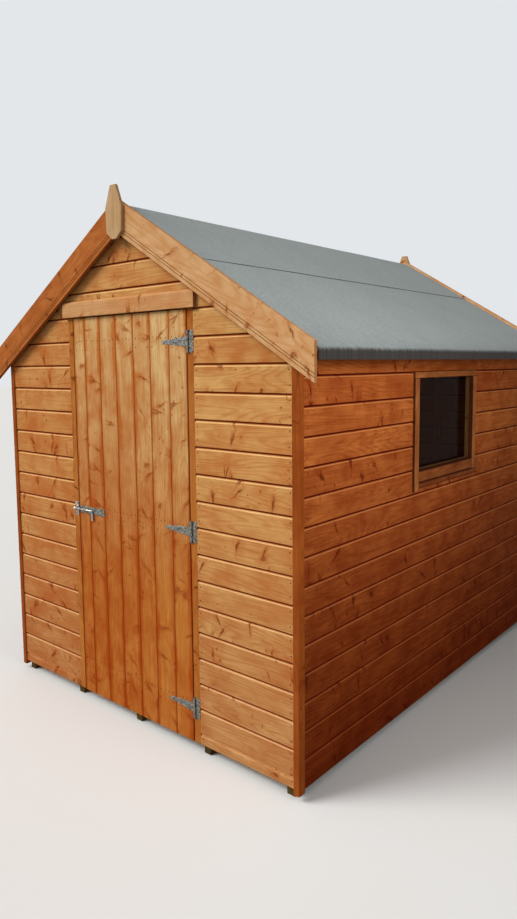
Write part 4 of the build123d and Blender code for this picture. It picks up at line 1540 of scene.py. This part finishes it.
@dataclass
class Ironmongery:
    """The tee hinges and the pad bolt, with their screws."""

    zinc: GalvanisedSteel = GalvanisedSteel("hot_dip_galvanised_steel")
    bright: GalvanisedSteel = GalvanisedSteel("bright_zinc_plate", "#CFCFC9", "#66655F", 4 * MM, 0.26)
    arris: float = 0.4 * MM
    crease: float = 0.6
    outline: float = 20 * MM
    plate: float = 2 * MM
    strap_holes: tuple[float, ...] = (0.12, 0.42, 0.72)
    plate_holes: tuple[float, ...] = (-36 * MM, -12 * MM, 12 * MM, 36 * MM)
    plate_inset: float = 10 * MM
    bolt_insets: tuple[float, ...] = (10 * MM, 30 * MM)
    bolt_end: float = 5 * MM
    bolt_holes: tuple[float, ...] = (-11 * MM, 11 * MM)
    bolt_share: float = 0.7
    keeper_inset: float = 8 * MM
    keeper_share: float = 0.8
    screw_radius: float = 4.0 * MM
    screw_rise: float = 1.6 * MM
    screw_sides: int = 16
    crown: float = 0.6
    crown_steps: int = 3
    slot_inset: float = 0.3
    slot_shape: Triple = (1.3, 0.35, 1.0)
    slot_depth: float = 0.8 * MM

    def __post_init__(self) -> None:
        """Looks up where the front boards' face is."""
        self.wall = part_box("front_wall_right")[0].y

    def build(self) -> None:
        """Dresses the hinges and the bolt and drives their screws."""
        for node, body, finish in (
            ("hinge_plates", SHED, self.zinc),
            ("hinge_straps", DOOR, self.zinc),
            ("bolt_plate", DOOR, self.zinc),
            ("bolt_bar", BOLT, self.bright),
            ("bolt_keeper", SHED, self.bright),
        ):
            piece = Piece(f"{node}_steel", body, Slot.STEEL, finish)
            for solid in solids_of(node):
                sharp = sharp_edges(solid, self.crease)
                if node == "hinge_plates":
                    # Round its screw holes and its pin there is no room for an arris
                    sharp = [e for e in sharp if e.calc_length() > self.outline]
                    sharp = [e for e in sharp if e.verts[0].co.y < self.wall - MM]
                soften(solid, sharp, self.arris)
                mark(solid, 1.0, piece.dice)
                piece.take(solid)
            piece.done(node)
        self._screws()

    def _screws(self) -> None:
        """Screws the hinges and the bolt down."""
        door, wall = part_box("door_leaf")[0].y - self.plate, self.wall - self.plate
        levels = []
        for solid in solids_of("hinge_plates"):
            heights = [v.co.z for v in solid.verts]
            levels.append((min(heights) + max(heights)) / 2)
            solid.free()
        low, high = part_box("hinge_straps")
        across = [low.x + share * (high.x - low.x) for share in self.strap_holes]
        self._drive("strap_screws", DOOR, [Vector((x, door, level)) for level in levels for x in across])
        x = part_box("hinge_plates")[1].x - self.plate_inset
        spots = [Vector((x, wall, level + rise)) for level in levels for rise in self.plate_holes]
        self._drive("plate_screws", SHED, spots)
        low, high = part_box("bolt_plate")
        across = [*(high.x - inset for inset in self.bolt_insets), low.x + self.bolt_end]
        middle = (low.z + high.z) / 2
        spots = [Vector((x, door, middle + rise)) for x in across for rise in self.bolt_holes]
        self._drive("bolt_screws", DOOR, spots, self.bolt_share)
        low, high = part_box("bolt_keeper")
        levels = (low.z + self.keeper_inset, high.z - self.keeper_inset)
        spots = [Vector(((low.x + high.x) / 2, wall, level)) for level in levels]
        self._drive("keeper_screws", SHED, spots, self.keeper_share)

    def _drive(self, name: str, body: str, spots: list[Vector], share: float = 1.0) -> None:
        """Makes one piece of round screw heads with slots, looking out of the front.

        Args:
            name: The piece's name.
            body: The body that carries it.
            spots: Where the screws sit.
            share: Their size beside a full one.
        """
        piece = Piece(name, body, Slot.STEEL, self.zinc)
        radius, rise = self.screw_radius * share, self.screw_rise * share
        for spot in spots:
            head = bmesh.new()
            bmesh.ops.create_cone(
                head,
                cap_ends=True,
                segments=self.screw_sides,
                radius1=radius,
                radius2=radius,
                depth=rise,
                matrix=Matrix.Translation((0, 0, rise / 2)),
            )
            rim = [e for e in head.edges if all(abs(v.co.z - rise) < TOUCH for v in e.verts)]
            soften(head, rim, rise * self.crown, self.crown_steps)
            crown = max(head.faces, key=lambda f: f.calc_center_median().z)
            bmesh.ops.inset_region(head, faces=[crown], thickness=self.slot_inset * radius)
            bmesh.ops.scale(head, vec=self.slot_shape, verts=crown.verts)
            slot = bmesh.ops.extrude_discrete_faces(head, faces=[crown])["faces"][0]
            bmesh.ops.translate(head, vec=(0, 0, -self.slot_depth * share), verts=slot.verts)
            spin = Matrix.Rotation(piece.dice.uniform(0, math.pi), 4, "Z")
            turn = Matrix.Rotation(math.pi / 2, 4, "X") @ spin
            bmesh.ops.transform(head, matrix=Matrix.Translation(spot) @ turn, verts=head.verts)
            mark(head, 1.0, piece.dice)
            piece.take(head)
        piece.done()


@dataclass
class FeltRoof:
    """The felt on both slopes and the strip over the ridge, laid a little unevenly."""

    cell: float = 60 * MM
    sag: float = 1.6 * MM
    sag_rate: float = 2.2
    sag_mean: float = 0.6
    fray: float = 2.5 * MM
    fray_rate: float = 3.0
    fray_apart: float = 50.0
    fray_level: float = 5.0
    # How far up the slope from the eaves the felt is darkened as painted shade, and how much
    bend: float = 260 * MM
    eaves_shade: float = 0.14
    roll: float = 11 * MM
    roll_steps: int = 4
    # How high above the lip the hang is darkened: painted shade together with the worn grit
    hang: float = 54 * MM
    pressed: float = 0.6 * MM
    near: float = 0.1 * MM
    edge: float = 5 * MM

    def build(self) -> None:
        """Lays the felt."""
        for node in ("felt_left", "felt_right", "ridge_felt"):
            strip = node == "ridge_felt"
            piece = Piece(f"{node}_sheet", SHED, Slot.FELT, MineralFelt(), BITUMEN)
            for sheet in solids_of(node):
                if not strip:
                    self._roll(sheet)
                self._divide(sheet)
                mark(sheet, 1.0, piece.dice)
                self._settle(sheet, strip)
                piece.take(sheet)
            piece.done(node)

    def _roll(self, sheet: Mesh) -> None:
        """Rounds the bend where a slope's felt turns down over the eaves.

        Args:
            sheet: The slope's sheet.
        """
        lip = max(abs(v.co.x) for v in sheet.verts)
        outer = [v for v in sheet.verts if lip - abs(v.co.x) < self.near]
        top = max(v.co.z for v in outer)
        corner = [v for v in outer if top - v.co.z < self.near]
        bend = [e for e in sheet.edges if all(v in corner for v in e.verts)]
        soften(sheet, bend, self.roll, self.roll_steps)

    def _divide(self, sheet: Mesh) -> None:
        """Cuts a sheet into a grid fine enough to bend.

        Args:
            sheet: The sheet.
        """
        for index, axis in enumerate((X, Y)):
            reach = [v.co[index] for v in sheet.verts]
            first, last = min(reach), max(reach)
            steps = int((last - first) / self.cell)
            for step in range(1, steps):
                point = axis * (first + step * (last - first) / steps)
                geometry = [*sheet.verts, *sheet.edges, *sheet.faces]
                bmesh.ops.bisect_plane(sheet, geom=geometry, plane_co=point, plane_no=axis, dist=TOUCH)

    def _settle(self, sheet: Mesh, strip: bool) -> None:
        """Presses the sheet into slow hollows, and waves the lower edges of the ridge strip.

        Args:
            sheet: The sheet.
            strip: Whether it is the strip over the ridge.
        """
        for face in sheet.faces:
            cut_edge = abs(face.normal.x) > 0.5 and face.calc_area() < self.cell * self.edge
            face.material_index = int(cut_edge and strip)
        look = sheet.verts.layers.float_vector[LOOK]
        lip = max(abs(v.co.x) for v in sheet.verts)
        foot = min(v.co.z for v in sheet.verts)
        for vertex in sheet.verts:
            place = vertex.co
            # The felt is darkened a little near the eaves and fully down the hang: painted shade, on the hang
            # together with worn grit
            near = max(0.0, min(1.0, (abs(place.x) - lip + self.bend) / self.bend))
            low = max(0.0, min(1.0, 1 - (place.z - foot) / self.hang))
            vertex[look].z = 0.0 if strip else max(self.eaves_shade * near, low)
            flat = Vector((place.x, place.y, 0.0))
            hollow = (noise.noise(flat * self.sag_rate) - self.sag_mean) * self.sag
            if strip and lip - abs(place.x) < MM:
                # The strip's two edges look up places in the noise that lie far apart
                spot = (place.y * self.fray_rate, place.x * self.fray_apart, self.fray_level)
                wave = noise.noise(Vector(spot))
                vertex.co.x -= math.copysign(abs(wave) * self.fray, place.x)
                vertex.co.z -= self.pressed
            vertex.co.z += hollow


@dataclass
class Studio:
    """The camera at the photograph's place, a soft key from the front left and a pale floor."""

    eye: Triple = (2.4121, -3.1951, 1.6363)
    yaw: float = 0.7093
    pitch: float = 0.1007
    roll: float = -0.0106
    focal_px: float = 694.1
    principal_px: tuple[float, float] = (252.48, 435.13)
    picture_px: tuple[int, int] = (517, 919)
    sensor: float = 36.0
    clip_end: float = 200.0
    key_from: Triple = (-0.50, -0.60, 0.62)
    key_strength: float = 3.0
    key_softness: float = math.radians(30)
    fill_at: Triple = (3.0, -1.25, 2.15)
    fill_towards: Triple = (0.94, -0.75, 1.35)
    fill_power: float = 9.0
    fill_spread: float = math.radians(90)
    fill_size: float = 1.2
    sky: Range = (0.315, 0.63)
    sky_from: Triple = (-0.8, -0.6, 0.0)
    flagged: float = 0.3
    backdrop: str = "#E4E7EA"
    floor_reach: float = 60.0
    floor_sides: int = 64

    def build(self) -> None:
        """Sets the stage."""
        self._camera()
        self._light()
        self._sky()
        self._floor()
        bpy.context.scene.view_settings.view_transform = "Standard"

    def _camera(self) -> None:
        """Places the camera where the photograph was taken, with its lens and shift."""
        data = bpy.data.cameras.new("camera")
        long_side = max(self.picture_px)
        data.sensor_width = self.sensor
        data.lens = self.sensor * self.focal_px / long_side
        data.shift_x = (self.picture_px[0] / 2 - self.principal_px[0]) / long_side
        data.shift_y = (self.principal_px[1] - self.picture_px[1] / 2) / long_side
        data.clip_end = self.clip_end
        camera = put("camera", data)
        ahead = Vector((
            -math.sin(self.yaw) * math.cos(self.pitch),
            math.cos(self.yaw) * math.cos(self.pitch),
            -math.sin(self.pitch),
        ))
        level = ahead.cross(Z).normalized()
        upright = level.cross(ahead)
        right = math.cos(self.roll) * level + math.sin(self.roll) * upright
        up = -math.sin(self.roll) * level + math.cos(self.roll) * upright
        camera.matrix_world = placing(right, up, -ahead, Vector(self.eye))
        bpy.context.scene.camera = camera

    def _light(self) -> None:
        """Adds a large soft key from the front left and a weak fill for the window's wall."""
        sun = bpy.data.lights.new("key", "SUN")
        sun.energy = self.key_strength
        sun.angle = self.key_softness
        panel = bpy.data.lights.new("fill", "AREA")
        panel.energy = self.fill_power
        panel.size = self.fill_size
        panel.spread = self.fill_spread
        key, fill = put("key", sun), put("fill", panel)
        fill.location = self.fill_at
        away = Vector(self.fill_at) - Vector(self.fill_towards)
        for light, source in ((key, Vector(self.key_from)), (fill, away)):
            light.rotation_mode = "QUATERNION"
            light.rotation_quaternion = source.to_track_quat("Z", "Y")

    def _sky(self) -> None:
        """Lights the stage from all round with an even sky, and shows a plain backdrop."""
        world = bpy.data.worlds.new("sky")
        bpy.context.scene.world = world
        world.use_nodes = True
        tree = world.node_tree
        tree.nodes.clear()
        away = add_node(tree, "TexCoord").outputs["Generated"]
        height = add_node(tree, "SeparateXYZ", {0: away}).outputs[2]
        dome = add_node(tree, "MapRange", {0: height, 3: self.sky[0], 4: self.sky[1]})
        # The side of the sky away from the key is dimmer, as behind a studio's flag
        facing = add_node(tree, "VectorMath", {0: away, 1: self.sky_from}, operation="DOT_PRODUCT")
        inputs = {0: facing.outputs["Value"], 1: -1.0, 2: 1.0, 3: self.flagged, 4: 2 - self.flagged}
        shade = add_node(tree, "MapRange", inputs)
        strength = add_node(tree, "Math", {0: dome, 1: shade}, operation="MULTIPLY")
        lit = add_node(tree, "Background", {0: linear("#FFFFFF"), 1: strength})
        shown = add_node(tree, "Background", {0: linear(self.backdrop), 1: 1.0})
        mixed = add_node(tree, "MixShader", {0: seen(tree), 1: lit, 2: shown})
        add_node(tree, "OutputWorld", {0: mixed})

    def _floor(self) -> None:
        """Lays a plain pale floor at the shed's lowest level."""
        shell = bpy.data.meshes.new("floor")
        sheet = bmesh.new()
        bmesh.ops.create_circle(sheet, cap_ends=True, segments=self.floor_sides, radius=self.floor_reach)
        sheet.to_mesh(shell)
        sheet.free()
        shell.materials.append(StudioFloor().material())
        floor = put("floor", shell)


def dress_glass() -> None:
    """Gives the window's pane its glass."""
    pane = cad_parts["window_glass"]
    pane.data.materials.clear()
    pane.data.materials.append(WindowGlass().material())
    LOG.info("window_glass: glazed")


def main() -> None:
    """Builds the shed's sub-assemblies in order, then the studio round it."""
    logging.basicConfig(level=logging.INFO, format="%(message)s")
    for assembly in (ShiplapWalls(), BoardedDoor(), Joinery(), Ironmongery(), FeltRoof()):
        assembly.build()
    dress_glass()
    Studio().build()


if __name__ == "__main__":
    main()
